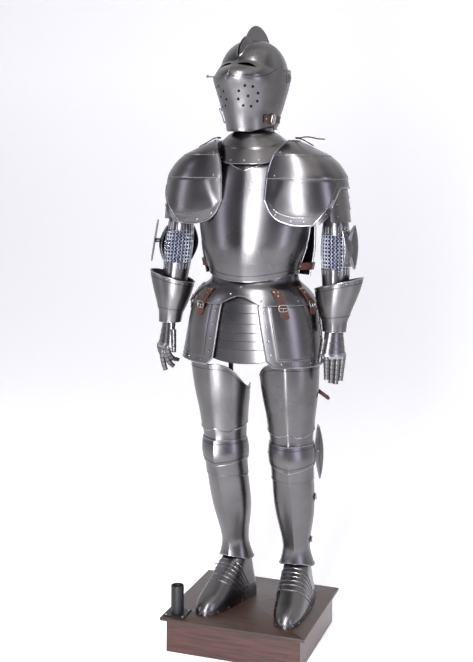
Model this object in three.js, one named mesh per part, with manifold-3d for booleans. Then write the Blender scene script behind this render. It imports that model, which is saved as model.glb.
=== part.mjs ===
// Suit of plate armour standing on a plain steel stand and a wooden plinth.
// Millimetres, +Z up, the suit faces -Y, the wearer's left side is +X.
// Origin: centre of the plinth's underside.
import * as THREE from 'three';
import Module from 'manifold-3d';

// ---------------------------------------------------------------- driving dimensions
const WALL = 1.5; // steel plate
const LAYER = 2.8; // step from one overlapping plate to the next
const LEATHER = 2.4; // straps
const CLEAR = 1.3; // gap between a strap and the plate it lies on

const PLINTH = { width: 477, depth: 448, height: 117.5, board: 10, cove: 8, coveInset: 8, inset: 17 };
const TRAY_WALL = 12; // sides and floor of the plinth box
const SEAT_GAP = 0.4; // between pieces that rest on each other

const SOCKET = { x: -197, y: -174, outer: 20.5, inner: 18, height: 95, flange: 72, plate: 4 };
const SUIT_OFFSET = new THREE.Vector3(-20, 40, 0); // suit axis on the plinth

const POST_RADIUS = 8; // stand tube
const POST_SIDES = 8;

// Sections of the suit. Each row: height, half-width, front depth, back depth, centre y.
const TORSO = [
  [1180, 143, 129, 98, 0], [1210, 147, 137, 101, 0], [1250, 158, 147, 108, 0],
  [1300, 173, 153, 114, 0], [1360, 182, 151, 118, 0], [1430, 186, 142, 120, 0],
  [1490, 176, 130, 116, 0], [1540, 150, 116, 105, 0], [1590, 110, 98, 88, 0],
];
// The back plate is fuller than the breastplate and flares over the hips.
const BACK = [
  [1180, 170, 98, 98, 12], [1210, 176, 101, 101, 12], [1250, 184, 108, 108, 12],
  [1300, 190, 114, 114, 10], [1360, 190, 118, 118, 8], [1430, 189, 120, 120, 4],
  [1490, 179, 116, 116, 2], [1540, 153, 105, 105, 0], [1590, 112, 88, 88, 0],
];
const HIPS = [
  [930, 227, 164, 150, 0], [986, 222, 166, 146, 0], [1052, 214, 168, 140, 0],
  [1101, 204, 166, 134, 0], [1133, 191, 158, 124, 0], [1165, 168, 146, 108, 0],
  [1188, 142, 130, 91, 0], [1210, 137, 126, 88, 0], [1230, 134, 124, 86, 0],
];
const NECK = [
  [1548, 138, 137, 116, 0], [1570, 130, 123, 110, 0], [1595, 118, 108, 102, 0],
  [1620, 102, 94, 90, 0], [1640, 78, 80, 76, 0], [1651, 61, 66, 63, 0], [1695, 56, 60, 58, 0],
];
const SHOULDER = [
  [1360, 190, 126, 100, 0], [1375, 190, 132, 104, 0], [1412, 188, 140, 110, 0],
  [1448, 183, 142, 112, 0], [1483, 176, 139, 110, 0], [1515, 168, 133, 108, 0],
  [1546, 149, 126, 103, 0], [1572, 120, 117, 96, 0], [1590, 84, 103, 84, 0],
  [1608, 46, 78, 62, 0], [1622, 12, 42, 34, 0],
];
const SHOULDER_X = 120; // centre of the shoulder sections
const ARM = [
  [1040, 31, 28, 28, -6], [1100, 35, 32, 32, -5], [1160, 40, 38, 38, -3], [1230, 45, 43, 43, 0],
  [1290, 47, 45, 47, 0], [1345, 43, 43, 43, 0], [1375, 39, 41, 41, 0], [1420, 35, 39, 39, 0],
];
const CUFF = [
  [1028, 37, 31, 31, -12], [1064, 41, 36, 36, -10], [1086, 49, 43, 43, -7],
  [1119, 60, 50, 50, -5], [1143, 67, 55, 55, -2], [1172, 74, 59, 59, 0], [1206, 80, 61, 61, 0],
];
const CUFF_SHIFT = 9; // the cuff's wide end stands outwards from the arm
const LEG = [
  [238, 64, 66, 58, 30], [262, 56, 56, 54, 29], [285, 50, 49, 50, 28], [307, 47, 46, 50, 27],
  [338, 50, 48, 58, 24], [382, 58, 52, 72, 19], [425, 65, 57, 80, 14], [475, 69, 62, 74, 8],
  [520, 70, 66, 68, 3], [560, 69, 70, 64, -1], [600, 70, 73, 64, -3], [640, 69, 72, 65, -2],
  [676, 70, 71, 68, 0], [700, 72, 72, 70, 0], [750, 77, 76, 75, 0], [800, 85, 82, 80, 0],
  [850, 91, 86, 84, 0], [900, 94, 88, 86, 0], [945, 95, 89, 87, 0],
];
const FOOT = [
  [118, 56, 240, 46, 30], [134, 57, 238, 47, 30], [150, 56, 226, 46, 30], [166, 54, 202, 45, 30],
  [184, 51, 168, 44, 30], [204, 48, 132, 44, 30], [224, 46, 98, 44, 30], [244, 44, 60, 43, 29],
  [262, 41, 38, 42, 29],
];
// Helmet, about its own upright axis. The dome and the visor turn about their own centre.
const BEVOR = [
  [1653, 74, 94, 80, 0], [1690, 79, 105, 84, 0], [1715, 88, 114, 93, 0], [1742, 95, 123, 101, 0],
  [1768, 102, 134, 109, 0], [1806, 109, 151, 119, 0], [1845, 110, 152, 121, 0],
];
const NAPE = [
  [1652, 68, 80, 88, 8], [1690, 71, 80, 84, 8], [1715, 79, 80, 92, 8], [1742, 86, 80, 100, 8],
  [1768, 91, 80, 108, 9], [1812, 95, 80, 116, 10],
];
const NECK_SHIFT = -11; // the neck stands a little to the right of the body's middle
const HELMET = { x: -16, y: 0, turn: -11.5 }; // degrees, towards the wearer's right
const DOME = { y: 10, z: 1812, radius: 116, half: 96, front: 26, side: 87, power: 2.35 };
const PIVOT = { y: 28, z: 1812, pin: 4, hole: 5, ear: 12, head: 14, inside: 8 };
const COMB = { root: 3, crest: 2, front: 50, back: 150, height: 45, peak: 0.45 };
const VISOR = { half: 102.5, low: -3, high: 65, sideHigh: 84 };
const BREATH = { radius: 4, ring: 31, count: 8, angle: 27, height: 1750 };

// axis: distance of the leg from the middle at LEG_BASE; lean: its change with height;
// yaw and foot: how far the leg and the foot turn out, in degrees; top and dip: the height of
// the thigh plate in front and its drop on the inner side; wing: how far back the knee wing is.
const LEG_SIDES = {
  right: { axis: 68, lean: 0.076, yaw: 6, foot: 13, top: 914, dip: 76, wing: 32, flare: 20 },
  left: { axis: 151, lean: -0.054, yaw: 8, foot: 4.5, top: 926, dip: 52, wing: 14, flare: 0 },
};
const LEG_BASE = 300;
// wing: place and turn of the elbow's wing, and how far it tilts outwards at its foot.
const ARM_SIDES = {
  right: { axis: 256, lean: -0.1, wing: { x: 84, y: -5, turn: 71, tilt: 5 } },
  left: { axis: 259, lean: -0.02, wing: { x: 64, y: -13, turn: 48, tilt: 0 } },
};
const ARM_BASE = 1375;

// ---------------------------------------------------------------- materials
function finish(color, roughness, metalness) {
  return new THREE.MeshStandardMaterial({ color, roughness, metalness });
}
const steel = () => finish(0x8b8a86, 0.35, 0.9);
const mailSteel = () => finish(0x3a3f4c, 0.5, 0.8);
const leather = () => finish(0x5a3324, 0.7, 0);
const wood = () => finish(0x3f2420, 0.5, 0);
const blackSteel = () => finish(0x141416, 0.55, 0.3);

// ---------------------------------------------------------------- small maths
const rad = THREE.MathUtils.degToRad;
const lerp = THREE.MathUtils.lerp;
const clamp = THREE.MathUtils.clamp;
const smooth = THREE.MathUtils.smoothstep;

// A curve through [position, value...] rows, without overshoot between them.
function interpolate(rows, at) {
  const last = rows.length - 1;
  const t = clamp(at, rows[0][0], rows[last][0]);
  let k = 0;
  while (k < last - 1 && t > rows[k + 1][0]) k += 1;
  const span = rows[k + 1][0] - rows[k][0];
  const s = (t - rows[k][0]) / span;
  const slope = (i, c) => {
    if (i === 0 || i === last) {
      const j = i === 0 ? 0 : last - 1;
      return (rows[j + 1][c] - rows[j][c]) / (rows[j + 1][0] - rows[j][0]);
    }
    const before = (rows[i][c] - rows[i - 1][c]) / (rows[i][0] - rows[i - 1][0]);
    const after = (rows[i + 1][c] - rows[i][c]) / (rows[i + 1][0] - rows[i][0]);
    return before * after <= 0 ? 0 : (2 * before * after) / (before + after);
  };
  return rows[0].slice(1).map((_, i) => {
    const c = i + 1;
    const s2 = s * s;
    const s3 = s2 * s;
    return (2 * s3 - 3 * s2 + 1) * rows[k][c] + (s3 - 2 * s2 + s) * span * slope(k, c)
      + (3 * s2 - 2 * s3) * rows[k + 1][c] + (s3 - s2) * span * slope(k + 1, c);
  });
}

// A point on a section: angle 0 is the front, +90 the left side; lift moves it outwards.
function ringPoint(rows, angle, z, lift = 0, { power = 2.1, keel = 0, span = 50, x = 0 } = {}) {
  const [width, front, back, y] = interpolate(rows, z);
  const s = Math.sin(rad(angle));
  const c = Math.cos(rad(angle));
  const wrapped = Math.abs(THREE.MathUtils.euclideanModulo(angle + 180, 360) - 180);
  const ridge = keel * Math.max(0, 1 - wrapped / span) ** 2;
  const depth = c > 0 ? front + lift : back + lift;
  return new THREE.Vector3(
    x + (width + lift) * Math.sign(s) * Math.abs(s) ** (2 / power),
    y - depth * Math.sign(c) * Math.abs(c) ** (2 / power) - ridge,
    z,
  );
}

// The angle whose point lies at a given x on a section.
function angleAt(rows, x, z, power = 2.1) {
  const [width] = interpolate(rows, z);
  return THREE.MathUtils.radToDeg(Math.sign(x) * Math.asin(Math.abs(x / width) ** (power / 2)));
}

// ---------------------------------------------------------------- sheets and solids
// A closed wall from a surface(u, v, offset): u runs up, v to the wearer's left.
function sheet(surface, rows, columns, thickness = WALL, wrapped = false) {
  const positions = [];
  const index = [];
  const across = wrapped ? columns : columns + 1;
  for (const offset of [0, -thickness]) {
    for (let i = 0; i <= rows; i += 1) {
      for (let j = 0; j < across; j += 1) {
        const p = surface(i / rows, j / columns, offset);
        positions.push(p.x, p.y, p.z);
      }
    }
  }
  const layer = (rows + 1) * across;
  const at = (side, i, j) => side * layer + i * across + (wrapped ? j % columns : j);
  const quad = (a, b, c, d) => index.push(a, b, c, a, c, d);
  for (let i = 0; i < rows; i += 1) {
    for (let j = 0; j < columns; j += 1) {
      quad(at(0, i, j), at(0, i, j + 1), at(0, i + 1, j + 1), at(0, i + 1, j));
      quad(at(1, i, j), at(1, i + 1, j), at(1, i + 1, j + 1), at(1, i, j + 1));
    }
  }
  for (let j = 0; j < columns; j += 1) {
    quad(at(0, 0, j), at(1, 0, j), at(1, 0, j + 1), at(0, 0, j + 1));
    quad(at(0, rows, j), at(0, rows, j + 1), at(1, rows, j + 1), at(1, rows, j));
  }
  for (let i = 0; i < rows && !wrapped; i += 1) {
    quad(at(0, i, 0), at(0, i + 1, 0), at(1, i + 1, 0), at(1, i, 0));
    quad(at(0, i, columns), at(1, i, columns), at(1, i + 1, columns), at(0, i + 1, columns));
  }
  const geometry = new THREE.BufferGeometry();
  geometry.setAttribute('position', new THREE.Float32BufferAttribute(positions, 3));
  geometry.setIndex(index);
  return geometry;
}

// A wall on a ring loft. from/to give the angles, low/high the heights, lift the layer.
function plate(rows, { from, to, low, high, lift = 0, grid, thickness = WALL, ring = {}, place, wrapped }) {
  const value = (f, ...args) => (typeof f === 'function' ? f(...args) : f);
  const surface = (u, v, offset) => {
    const first = value(from, u);
    const angle = lerp(first, value(to, u), v);
    const z = lerp(value(low, angle), value(high, angle), u);
    const p = ringPoint(rows, angle, z, value(lift, u, v, angle) + offset, ring);
    return place ? place(p) : p;
  };
  return sheet(surface, grid[0], grid[1], thickness, wrapped);
}

const wasm = await Module();
wasm.setup();

function toSolid(geometry) {
  const shared = mergeCorners(geometry);
  return new wasm.Manifold(new wasm.Mesh({
    numProp: 3,
    vertProperties: new Float32Array(shared.positions),
    triVerts: new Uint32Array(shared.index),
  }));
}

// Corners that lie in one place become one corner, so that neighbouring faces share it.
function mergeCorners(geometry) {
  const source = geometry.getAttribute('position');
  const order = geometry.index ? [...geometry.index.array] : [...Array(source.count).keys()];
  const seen = new Map();
  const positions = [];
  const index = order.map((i) => {
    const corner = [source.getX(i), source.getY(i), source.getZ(i)];
    const key = corner.map((value) => Math.round(value * 1e4)).join();
    if (!seen.has(key)) {
      seen.set(key, positions.length / 3);
      positions.push(...corner);
    }
    return seen.get(key);
  });
  return { positions, index };
}

function toGeometry(solid) {
  const mesh = solid.getMesh();
  const geometry = new THREE.BufferGeometry();
  geometry.setAttribute('position', new THREE.Float32BufferAttribute(mesh.vertProperties, 3));
  geometry.setIndex([...mesh.triVerts]);
  return geometry;
}

function join(...geometries) {
  return toGeometry(geometries.map(toSolid).reduce((sum, solid) => sum.add(solid)));
}

function cut(geometry, ...tools) {
  return toGeometry(tools.map(toSolid).reduce((rest, tool) => rest.subtract(tool), toSolid(geometry)));
}

function rod(from, to, radius, sides = POST_SIDES) {
  const direction = to.clone().sub(from);
  const geometry = new THREE.CylinderGeometry(radius, radius, direction.length(), sides);
  const turn = new THREE.Quaternion();
  turn.setFromUnitVectors(new THREE.Vector3(0, 1, 0), direction.clone().normalize());
  geometry.applyQuaternion(turn);
  return geometry.translate(...from.clone().add(to).multiplyScalar(0.5));
}

function block(width, depth, height, x, y, low) {
  return new THREE.BoxGeometry(width, depth, height).translate(x, y, low + height / 2);
}

const vec = (x, y, z) => new THREE.Vector3(x, y, z);

// ---------------------------------------------------------------- assembly
const model = new THREE.Group();
const suit = new THREE.Group();
suit.position.copy(SUIT_OFFSET);
model.add(suit);
const helmet = new THREE.Group();
helmet.position.set(HELMET.x, HELMET.y, 0);
helmet.rotation.z = rad(HELMET.turn);
suit.add(helmet);

function add(parent, name, geometry, material) {
  const mesh = new THREE.Mesh(geometry, material);
  mesh.name = name;
  parent.add(mesh);
}

// Mirrors a geometry to the wearer's right side, with its faces still pointing out.
function mirrored(geometry) {
  const flipped = geometry.clone().scale(-1, 1, 1);
  const { array } = flipped.index;
  for (let i = 0; i < array.length; i += 3) [array[i], array[i + 1]] = [array[i + 1], array[i]];
  return flipped;
}

// ---------------------------------------------------------------- plinth, socket and stand
function plinthBox() {
  const width = PLINTH.width - 2 * PLINTH.inset;
  const depth = PLINTH.depth - 2 * PLINTH.inset;
  const height = PLINTH.height - PLINTH.board - PLINTH.cove - SEAT_GAP;
  const hollow = block(width - 2 * TRAY_WALL, depth - 2 * TRAY_WALL, height, 0, 0, TRAY_WALL);
  return cut(block(width, depth, height, 0, 0, 0), hollow);
}

function plinthTop() {
  const boardLow = PLINTH.height - PLINTH.board;
  const cove = block(
    PLINTH.width - 2 * PLINTH.coveInset, PLINTH.depth - 2 * PLINTH.coveInset, PLINTH.cove + 1,
    0, 0, boardLow - PLINTH.cove,
  );
  return join(block(PLINTH.width, PLINTH.depth, PLINTH.board, 0, 0, boardLow), cove);
}

function weaponSocket() {
  const low = PLINTH.height + SEAT_GAP;
  const above = (height) => vec(SOCKET.x, SOCKET.y, low + height);
  const sides = 16;
  const flange = block(SOCKET.flange, SOCKET.flange, SOCKET.plate, SOCKET.x, SOCKET.y, low);
  const tube = rod(above(1), above(SOCKET.height), SOCKET.outer, sides);
  const bore = rod(above(SOCKET.plate), above(SOCKET.height + 5), SOCKET.inner, sides);
  return cut(join(flange, tube), bore);
}

// Posts in the legs, a hip bar, a spine, a shoulder bar and a neck post with a rounded top.
function standFrame() {
  const foot = PLINTH.height + SEAT_GAP;
  const hip = 962;
  const back = 52;
  const right = [vec(-74, back, foot), vec(-100, back, hip)];
  const left = [vec(149, back, foot), vec(106, back, hip)];
  const shoulder = 1488;
  const parts = [
    rod(right[0], right[1], POST_RADIUS),
    rod(left[0], left[1], POST_RADIUS),
    rod(vec(-110, back, hip), vec(116, back, hip), POST_RADIUS),
    rod(vec(0, back, hip), vec(0, back, shoulder), POST_RADIUS),
    rod(vec(-236, back - 20, shoulder), vec(236, back - 20, shoulder), POST_RADIUS),
    rod(vec(0, back - 14, shoulder - 20), vec(-17, back - 14, 1872), POST_RADIUS),
    new THREE.SphereGeometry(20, 8, 6).translate(-17, back - 14, 1872),
  ];
  for (const [x, y] of [[-74, back], [149, back]]) {
    parts.push(rod(vec(x, y, foot), vec(x, y, foot + 5), 14, 8));
  }
  return join(...parts);
}

add(model, 'plinth_box', plinthBox(), wood());
add(model, 'plinth_top', plinthTop(), wood());
add(model, 'weapon_socket', weaponSocket(), blackSteel());
add(suit, 'stand_frame', standFrame(), blackSteel());

// ---------------------------------------------------------------- torso
const CHEST = { keel: 9, span: 50 };
const BACK_RING = { power: 2.5 };

function breastplate() {
  const side = 86;
  const low = (a) => 1188 + 24 * Math.sin(rad(Math.abs(a))) ** 2;
  const neck = (a) => 1524 + 50 * smooth(Math.abs(a), 0, 42);
  const high = (a) => lerp(neck(a), 1396, smooth(Math.abs(a), 44, side));
  return plate(TORSO, { from: -side, to: side, low, high, grid: [6, 16], ring: CHEST });
}

function backplate() {
  const low = 1200;
  const high = (a) => lerp(1396, 1562, smooth(Math.min(a, 360 - a), 92, 134));
  return plate(BACK, { from: 91, to: 269, low, high, grid: [5, 12], ring: BACK_RING });
}

const neckPlace = (p) => p.setX(p.x + NECK_SHIFT * smooth(p.z, 1570, 1650));
const COLLAR = { ring: { power: 2 }, place: neckPlace };

function gorgetFront() {
  const low = (a) => 1548 + 36 * smooth(Math.abs(a), 15, 88);
  return plate(NECK, { from: -87, to: 87, low, high: 1690, grid: [5, 12], ...COLLAR });
}

function gorgetBack() {
  const low = (a) => 1560 + 20 * smooth(Math.abs(a - 180), 25, 88);
  return plate(NECK, { from: 90, to: 270, low, high: 1690, grid: [5, 10], ...COLLAR });
}

// The waist plate rises in a low arch over the fauld, between the tassets.
const ARCH = { foot: 1118, rise: 28, span: 22 };
const archHeight = (a) => {
  const t = clamp(Math.abs(a) / ARCH.span, 0, 1);
  return ARCH.foot + ARCH.rise * Math.cos((t * Math.PI) / 2) ** 2;
};
const waistLift = (u) => 4.6 * (1 - smooth(u, 0, 0.6));

function waistPlate() {
  return plate(HIPS, { from: -97, to: 97, low: archHeight, high: 1228, lift: waistLift, grid: [3, 18] });
}

function culet() {
  return plate(HIPS, { from: 101, to: 259, low: 1040, high: 1228, grid: [4, 10] });
}

add(suit, 'breastplate', breastplate(), steel());
add(suit, 'backplate', backplate(), steel());
add(suit, 'gorget_front', gorgetFront(), steel());
add(suit, 'gorget_back', gorgetBack(), steel());
add(suit, 'waist_plate', waistPlate(), steel());
add(suit, 'culet', culet(), steel());

// Fauld lames under the arch, each lower edge lying over the next lame.
const LAME_EDGES = [1150, 1093, 1060, 1031, 1005, 978, 935];
const FAULD_DEPTH = -9; // below the tassets' surface

function fauldLame(k) {
  const top = LAME_EDGES[k] + (k === 0 ? 0 : 8);
  const bottom = LAME_EDGES[k + 1];
  const last = k === LAME_EDGES.length - 2;
  const sag = (a) => (last ? 18 : 5) * (1 - (a / 40) ** 2);
  return plate(HIPS, {
    from: -38, to: 38, grid: [k === 0 ? 3 : 1, 8],
    low: (a) => bottom + (last ? 18 : 5) - sag(a),
    high: (a) => top + 5 - 5 * (1 - (a / 40) ** 2),
    lift: (u) => FAULD_DEPTH - 3 * u,
  });
}
for (let k = 0; k < LAME_EDGES.length - 1; k += 1) {
  add(suit, `fauld_lame_${k + 1}`, fauldLame(k), steel());
}

// A tasset hangs in front of each thigh, its inner edge sloping outwards to a round corner.
// Its outer foot can flare away from the hip.
function tasset(flare) {
  const outer = 98;
  const surface = (u, v, offset) => {
    const z = lerp(926, 1126, u);
    const corner = 16 * (1 - smooth(u, 0, 0.12));
    const inner = angleAt(HIPS, lerp(92, 58, u) + corner, z);
    const p = ringPoint(HIPS, lerp(inner, outer, v), z, offset);
    return p.setX(p.x + flare * (1 - u) ** 2 * smooth(v, 0.4, 1));
  };
  return sheet(surface, 6, 10);
}
add(suit, 'tasset_left', tasset(LEG_SIDES.left.flare), steel());
add(suit, 'tasset_right', mirrored(tasset(LEG_SIDES.right.flare)), steel());

// ---------------------------------------------------------------- straps of the torso
// It crosses from the breastplate to the fuller back plate.
function sideStrap() {
  const surface = (u, v, offset) => {
    const angle = lerp(78, 101, v);
    const z = lerp(1222, 1244, u);
    const lift = LEATHER + CLEAR + offset;
    const front = ringPoint(TORSO, angle, z, lift);
    const back = ringPoint(BACK, angle, z, lift, BACK_RING);
    return front.lerp(back, smooth(angle, 79, 90));
  };
  return sheet(surface, 1, 6, LEATHER);
}

function tassetStrap(angle, low, high, drift) {
  const half = 4.5; // degrees
  const surface = (u, v, offset) => {
    const z = lerp(low, high, u);
    const over = 4.6 * smooth(z, 1094, 1116) * (1 - smooth(z, 1118, 1196));
    const centre = angle + drift * (1 - u);
    return ringPoint(HIPS, lerp(centre - half, centre + half, v), z, over + LEATHER + CLEAR + offset);
  };
  return sheet(surface, 6, 1, LEATHER);
}

for (const [side, flip] of [['left', (g) => g], ['right', mirrored]]) {
  add(suit, `side_strap_${side}`, flip(sideStrap()), leather());
  add(suit, `tasset_strap_front_${side}`, flip(tassetStrap(36, 1076, 1166, 5)), leather());
  add(suit, `tasset_strap_side_${side}`, flip(tassetStrap(74, 1086, 1172, 3)), leather());
}

// ---------------------------------------------------------------- helmet
// A point about the dome's centre: angle 0 forwards, 90 up; across runs from side to side.
function domePoint(radius, half, angle, across) {
  const s = Math.sin(rad(across));
  const full = (value) => Math.abs(value) ** (2 / DOME.power);
  const reach = radius * full(Math.cos(rad(across)));
  return vec(
    half * Math.sign(s) * full(s),
    DOME.y - reach * Math.cos(rad(angle)),
    DOME.z + reach * Math.sin(rad(angle)),
  );
}

function helmetSkull() {
  const domeShare = 0.62; // of the rows, the rest go down the nape
  const surface = (u, v, offset) => {
    const across = lerp(-DOME.side, DOME.side, v);
    if (u <= domeShare) {
      const angle = lerp(DOME.front, 180, u / domeShare);
      return domePoint(DOME.radius + offset, DOME.half + offset, angle, across);
    }
    const z = lerp(DOME.z, 1658, (u - domeShare) / (1 - domeShare));
    return ringPoint(NAPE, 180 - across, z, offset, { power: 2 });
  };
  const shell = sheet(surface, 10, 10);
  return cut(join(shell, comb()), pivotBore());
}

// The comb is a thin crest along the dome, rising in a hump.
function combRise(u) {
  const quarter = Math.PI / 2;
  if (u < COMB.peak) return Math.sin((u / COMB.peak) * quarter) ** 1.2;
  return Math.cos(((u - COMB.peak) / (1 - COMB.peak)) * quarter) ** 0.9;
}

function comb() {
  const surface = (u, v, offset) => {
    const angle = lerp(COMB.front, COMB.back, u);
    const inside = offset < 0;
    const top = DOME.radius + Math.max(COMB.height * combRise(u), 0.8);
    const reach = inside ? DOME.radius - 1.2 : top;
    const half = inside ? COMB.root : COMB.crest;
    const p = domePoint(reach, 0, angle, 0);
    p.x = lerp(-half, half, v);
    return p;
  };
  return sheet(surface, 8, 1, 1);
}

function pivotBore() {
  return rod(vec(-130, PIVOT.y, PIVOT.z), vec(130, PIVOT.y, PIVOT.z), PIVOT.hole, 10);
}

// The visor's middle outline: a pointed nose, a ledge with the sights, then the brow.
const VISOR_LINE = [
  [-6, 157], [0, 156], [13, 136], [19, 124], [24, 119.6], [30, 119.6], [50, 119.6], [84, 119.6],
];
const VISOR_RIDGE = [ // angle, height, half-width
  [-6, 10, 60], [6, 10, 50], [16, 3, 20], [24, 0, 6], [44, 19, 15], [65, 22, 18], [84, 22, 18],
];

function visorPoint(angle, across, offset) {
  const [radius] = interpolate(VISOR_LINE, angle);
  const [height, width] = interpolate(VISOR_RIDGE, angle);
  const x = domePoint(radius, VISOR.half, angle, across).x;
  const ridge = height * Math.max(0, 1 - Math.abs(x) / width);
  return domePoint(radius + offset + ridge, VISOR.half + offset, angle, across);
}

function helmetVisor() {
  const columns = [-83, -66, -50, -36, -23, -11, -8.5, -4, 0, 4, 8.5, 11, 23, 36, 50, 66, 83];
  const surface = (u, v, offset) => {
    const across = columns[Math.round(v * (columns.length - 1))];
    const high = lerp(VISOR.high, VISOR.sideHigh, smooth(Math.abs(across), 12, 50));
    return visorPoint(lerp(VISOR.low, high, u), across, offset);
  };
  const shell = sheet(surface, 8, columns.length - 1);
  const combSlot = block(9, 90, 80, 0, -70, 1874);
  const solid = join(shell, ...visorEar(1), ...visorEar(-1), liftingPeg());
  return cut(solid, pivotBore(), combSlot, sight(1), sight(-1));
}

// A round ear about the pivot, with the arm that joins it to the visor.
function visorEar(side) {
  const middle = VISOR.half - 2.8;
  const at = (x) => vec(side * x, PIVOT.y, PIVOT.z);
  const reach = 46;
  const half = PIVOT.ear - 2;
  const arm = block(2, reach, 2 * half, side * middle, PIVOT.y - reach / 2, PIVOT.z - half);
  return [rod(at(middle - 1), at(middle + 1), PIVOT.ear, 12), arm];
}

// A lens-shaped sight on each side of the nose, lower at its outer end.
function sight(side) {
  const shape = new THREE.Shape();
  shape.moveTo(side * 8, 1846);
  shape.quadraticCurveTo(side * 38, 1860, side * 68, 1835);
  shape.quadraticCurveTo(side * 38, 1841, side * 8, 1846);
  const lens = new THREE.ExtrudeGeometry(shape, { depth: 120, bevelEnabled: false, curveSegments: 4 });
  return lens.rotateX(Math.PI / 2).scale(1, 1, -1).translate(0, -60, 0);
}

function liftingPeg() {
  const base = visorPoint(0, -52, -1);
  const tip = base.clone().add(vec(-20, -20, 1));
  return rod(base, tip, 2.5, 6);
}

const BEVOR_RING = { power: 2.25, keel: 12, span: 55 };

function helmetBevor() {
  const high = (a) => 1806 + 30 * smooth(Math.abs(a), 48, 88);
  const shell = plate(BEVOR, {
    from: -117, to: 117, low: 1655, high, grid: [5, 14], ring: BEVOR_RING,
  });
  const holes = [-1, 1].flatMap((side) => breaths(side));
  return cut(shell, pivotBore(), ...holes);
}

// A ring of round breaths with one more in its middle.
function breaths(side) {
  const centre = ringPoint(BEVOR, side * BREATH.angle, BREATH.height, 0, BEVOR_RING);
  const out = vec(Math.sin(rad(side * BREATH.angle)), -Math.cos(rad(BREATH.angle)), 0);
  const across = vec(-out.y * side, out.x * side, 0);
  const spots = [[0, 0]];
  for (let k = 0; k < BREATH.count; k += 1) {
    const turn = (k / BREATH.count) * 2 * Math.PI + 0.3;
    spots.push([BREATH.ring * Math.cos(turn), BREATH.ring * Math.sin(turn)]);
  }
  return spots.map(([sideways, up]) => {
    const at = (depth) => centre.clone().addScaledVector(across, sideways)
      .addScaledVector(out, depth).add(vec(0, 0, up));
    return rod(at(-30), at(30), BREATH.radius, 4);
  });
}

// A headed pin through the bevor, the visor's ear and the skull.
function helmetPivot(side) {
  const at = (x) => vec(side * x, PIVOT.y, PIVOT.z);
  return join(
    rod(at(89), at(109.5), PIVOT.pin, 8),
    rod(at(108), at(111.5), PIVOT.head, 12),
    rod(at(88), at(91), PIVOT.inside, 8),
  );
}

function helmetStrap() {
  return plate(BEVOR, {
    from: 60, to: 112, low: 1674, high: 1696, lift: LEATHER + 2, grid: [1, 6], thickness: LEATHER,
    ring: { power: 2.25 },
  });
}

add(helmet, 'helmet_skull', helmetSkull(), steel());
add(helmet, 'helmet_visor', helmetVisor(), steel());
add(helmet, 'helmet_bevor', helmetBevor(), steel());
add(helmet, 'helmet_pivot_left', helmetPivot(1), steel());
add(helmet, 'helmet_pivot_right', helmetPivot(-1), steel());
add(helmet, 'helmet_strap', helmetStrap(), leather());

// ---------------------------------------------------------------- shoulders
const SHOULDER_RING = { power: 2.2, x: SHOULDER_X };
// Lower edge of the main plate: angle, height. It hangs in a round lobe in front.
const LOBE = [
  [-14, 1440], [-8, 1400], [0, 1375], [12, 1364], [30, 1366], [44, 1390], [56, 1440],
  [70, 1478], [170, 1478],
];

function pauldron() {
  return plate(SHOULDER, {
    from: -14, to: 168, low: (a) => interpolate(LOBE, a)[0], high: 1620, grid: [7, 14], ring: SHOULDER_RING,
  });
}

// Three lames of the outer arm in one riveted piece, each lower edge turned out.
const ARM_LAMES = [1490, 1448, 1412, 1375];

function armLames() {
  const below = LAYER + 2.4; // under the main plate
  const tuck = 2; // each lame's top goes under the lame above
  const rows = ARM_LAMES.slice(1).reverse().flatMap((bottom, k) => [
    { z: bottom + (k === 0 ? 0 : 1), lift: -below },
    { z: ARM_LAMES[ARM_LAMES.length - 2 - k], lift: -below - tuck },
  ]);
  const surface = (u, v, offset) => {
    const { z, lift } = rows[Math.round(u * (rows.length - 1))];
    return ringPoint(SHOULDER, lerp(62, 140, v), z, lift + offset, SHOULDER_RING);
  };
  return sheet(surface, rows.length - 1, 8);
}

// ---------------------------------------------------------------- arms
function armPlace(side) {
  const { axis, lean } = ARM_SIDES[side];
  return (p) => p.setX(p.x + axis + lean * (p.z - ARM_BASE));
}

const tube = (rows, low, high, lift, grid, place, ring = { power: 2 }, thickness = WALL) => plate(rows, {
  from: 0, to: 360, low, high, lift, grid, place, ring, thickness, wrapped: true,
});

const WING_WALL = 2;
const MAIL_WALL = 2;

// The elbow plate wraps the back and the outside, with a leaf-shaped wing on a short boss.
function couter(place, wing) {
  const middle = 1298;
  const cup = plate(ARM, {
    from: 40, to: 232, low: 1238, high: 1346, grid: [4, 10], place,
    lift: (u) => 4 + 14 * Math.sin(Math.PI * u), ring: { power: 2 },
  });
  const boss = rod(
    place(vec(56, wing.y + 8, middle)), place(vec(wing.x - 0.5, wing.y + 2, middle)), 7,
  );
  const leafShape = { z: middle, half: 70, ahead: 38, behind: 12, ...wing };
  return join(cup, boss, leaf(place, leafShape));
}

// A pointed plate standing on edge; turn is the angle of its face from the front, ahead and
// behind are its widths on each side of its upright axis.
function leaf(place, { z, half, ahead, behind, x, y, turn, tilt }) {
  const face = vec(Math.sin(rad(turn)), -Math.cos(rad(turn)), 0);
  const along = vec(Math.cos(rad(turn)), Math.sin(rad(turn)), 0);
  const surface = (u, v, offset) => {
    const t = lerp(-0.97, 0.97, u);
    const reach = lerp(-ahead * (1 - Math.abs(t)) ** 0.8, behind * (1 - t * t), v);
    const p = vec(x - tilt * t, y, z + half * t);
    return place(p.addScaledVector(along, reach).addScaledVector(face, offset));
  };
  return sheet(surface, 6, 2, WING_WALL);
}

function gauntletCuff(place) {
  const high = (a) => 1183 + 20 * Math.sin(rad(a));
  const outwards = (p) => p.setX(p.x + CUFF_SHIFT * smooth(p.z, 1086, 1206));
  return tube(CUFF, 1034, high, 0, [5, 14], (p) => place(outwards(p)));
}

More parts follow.
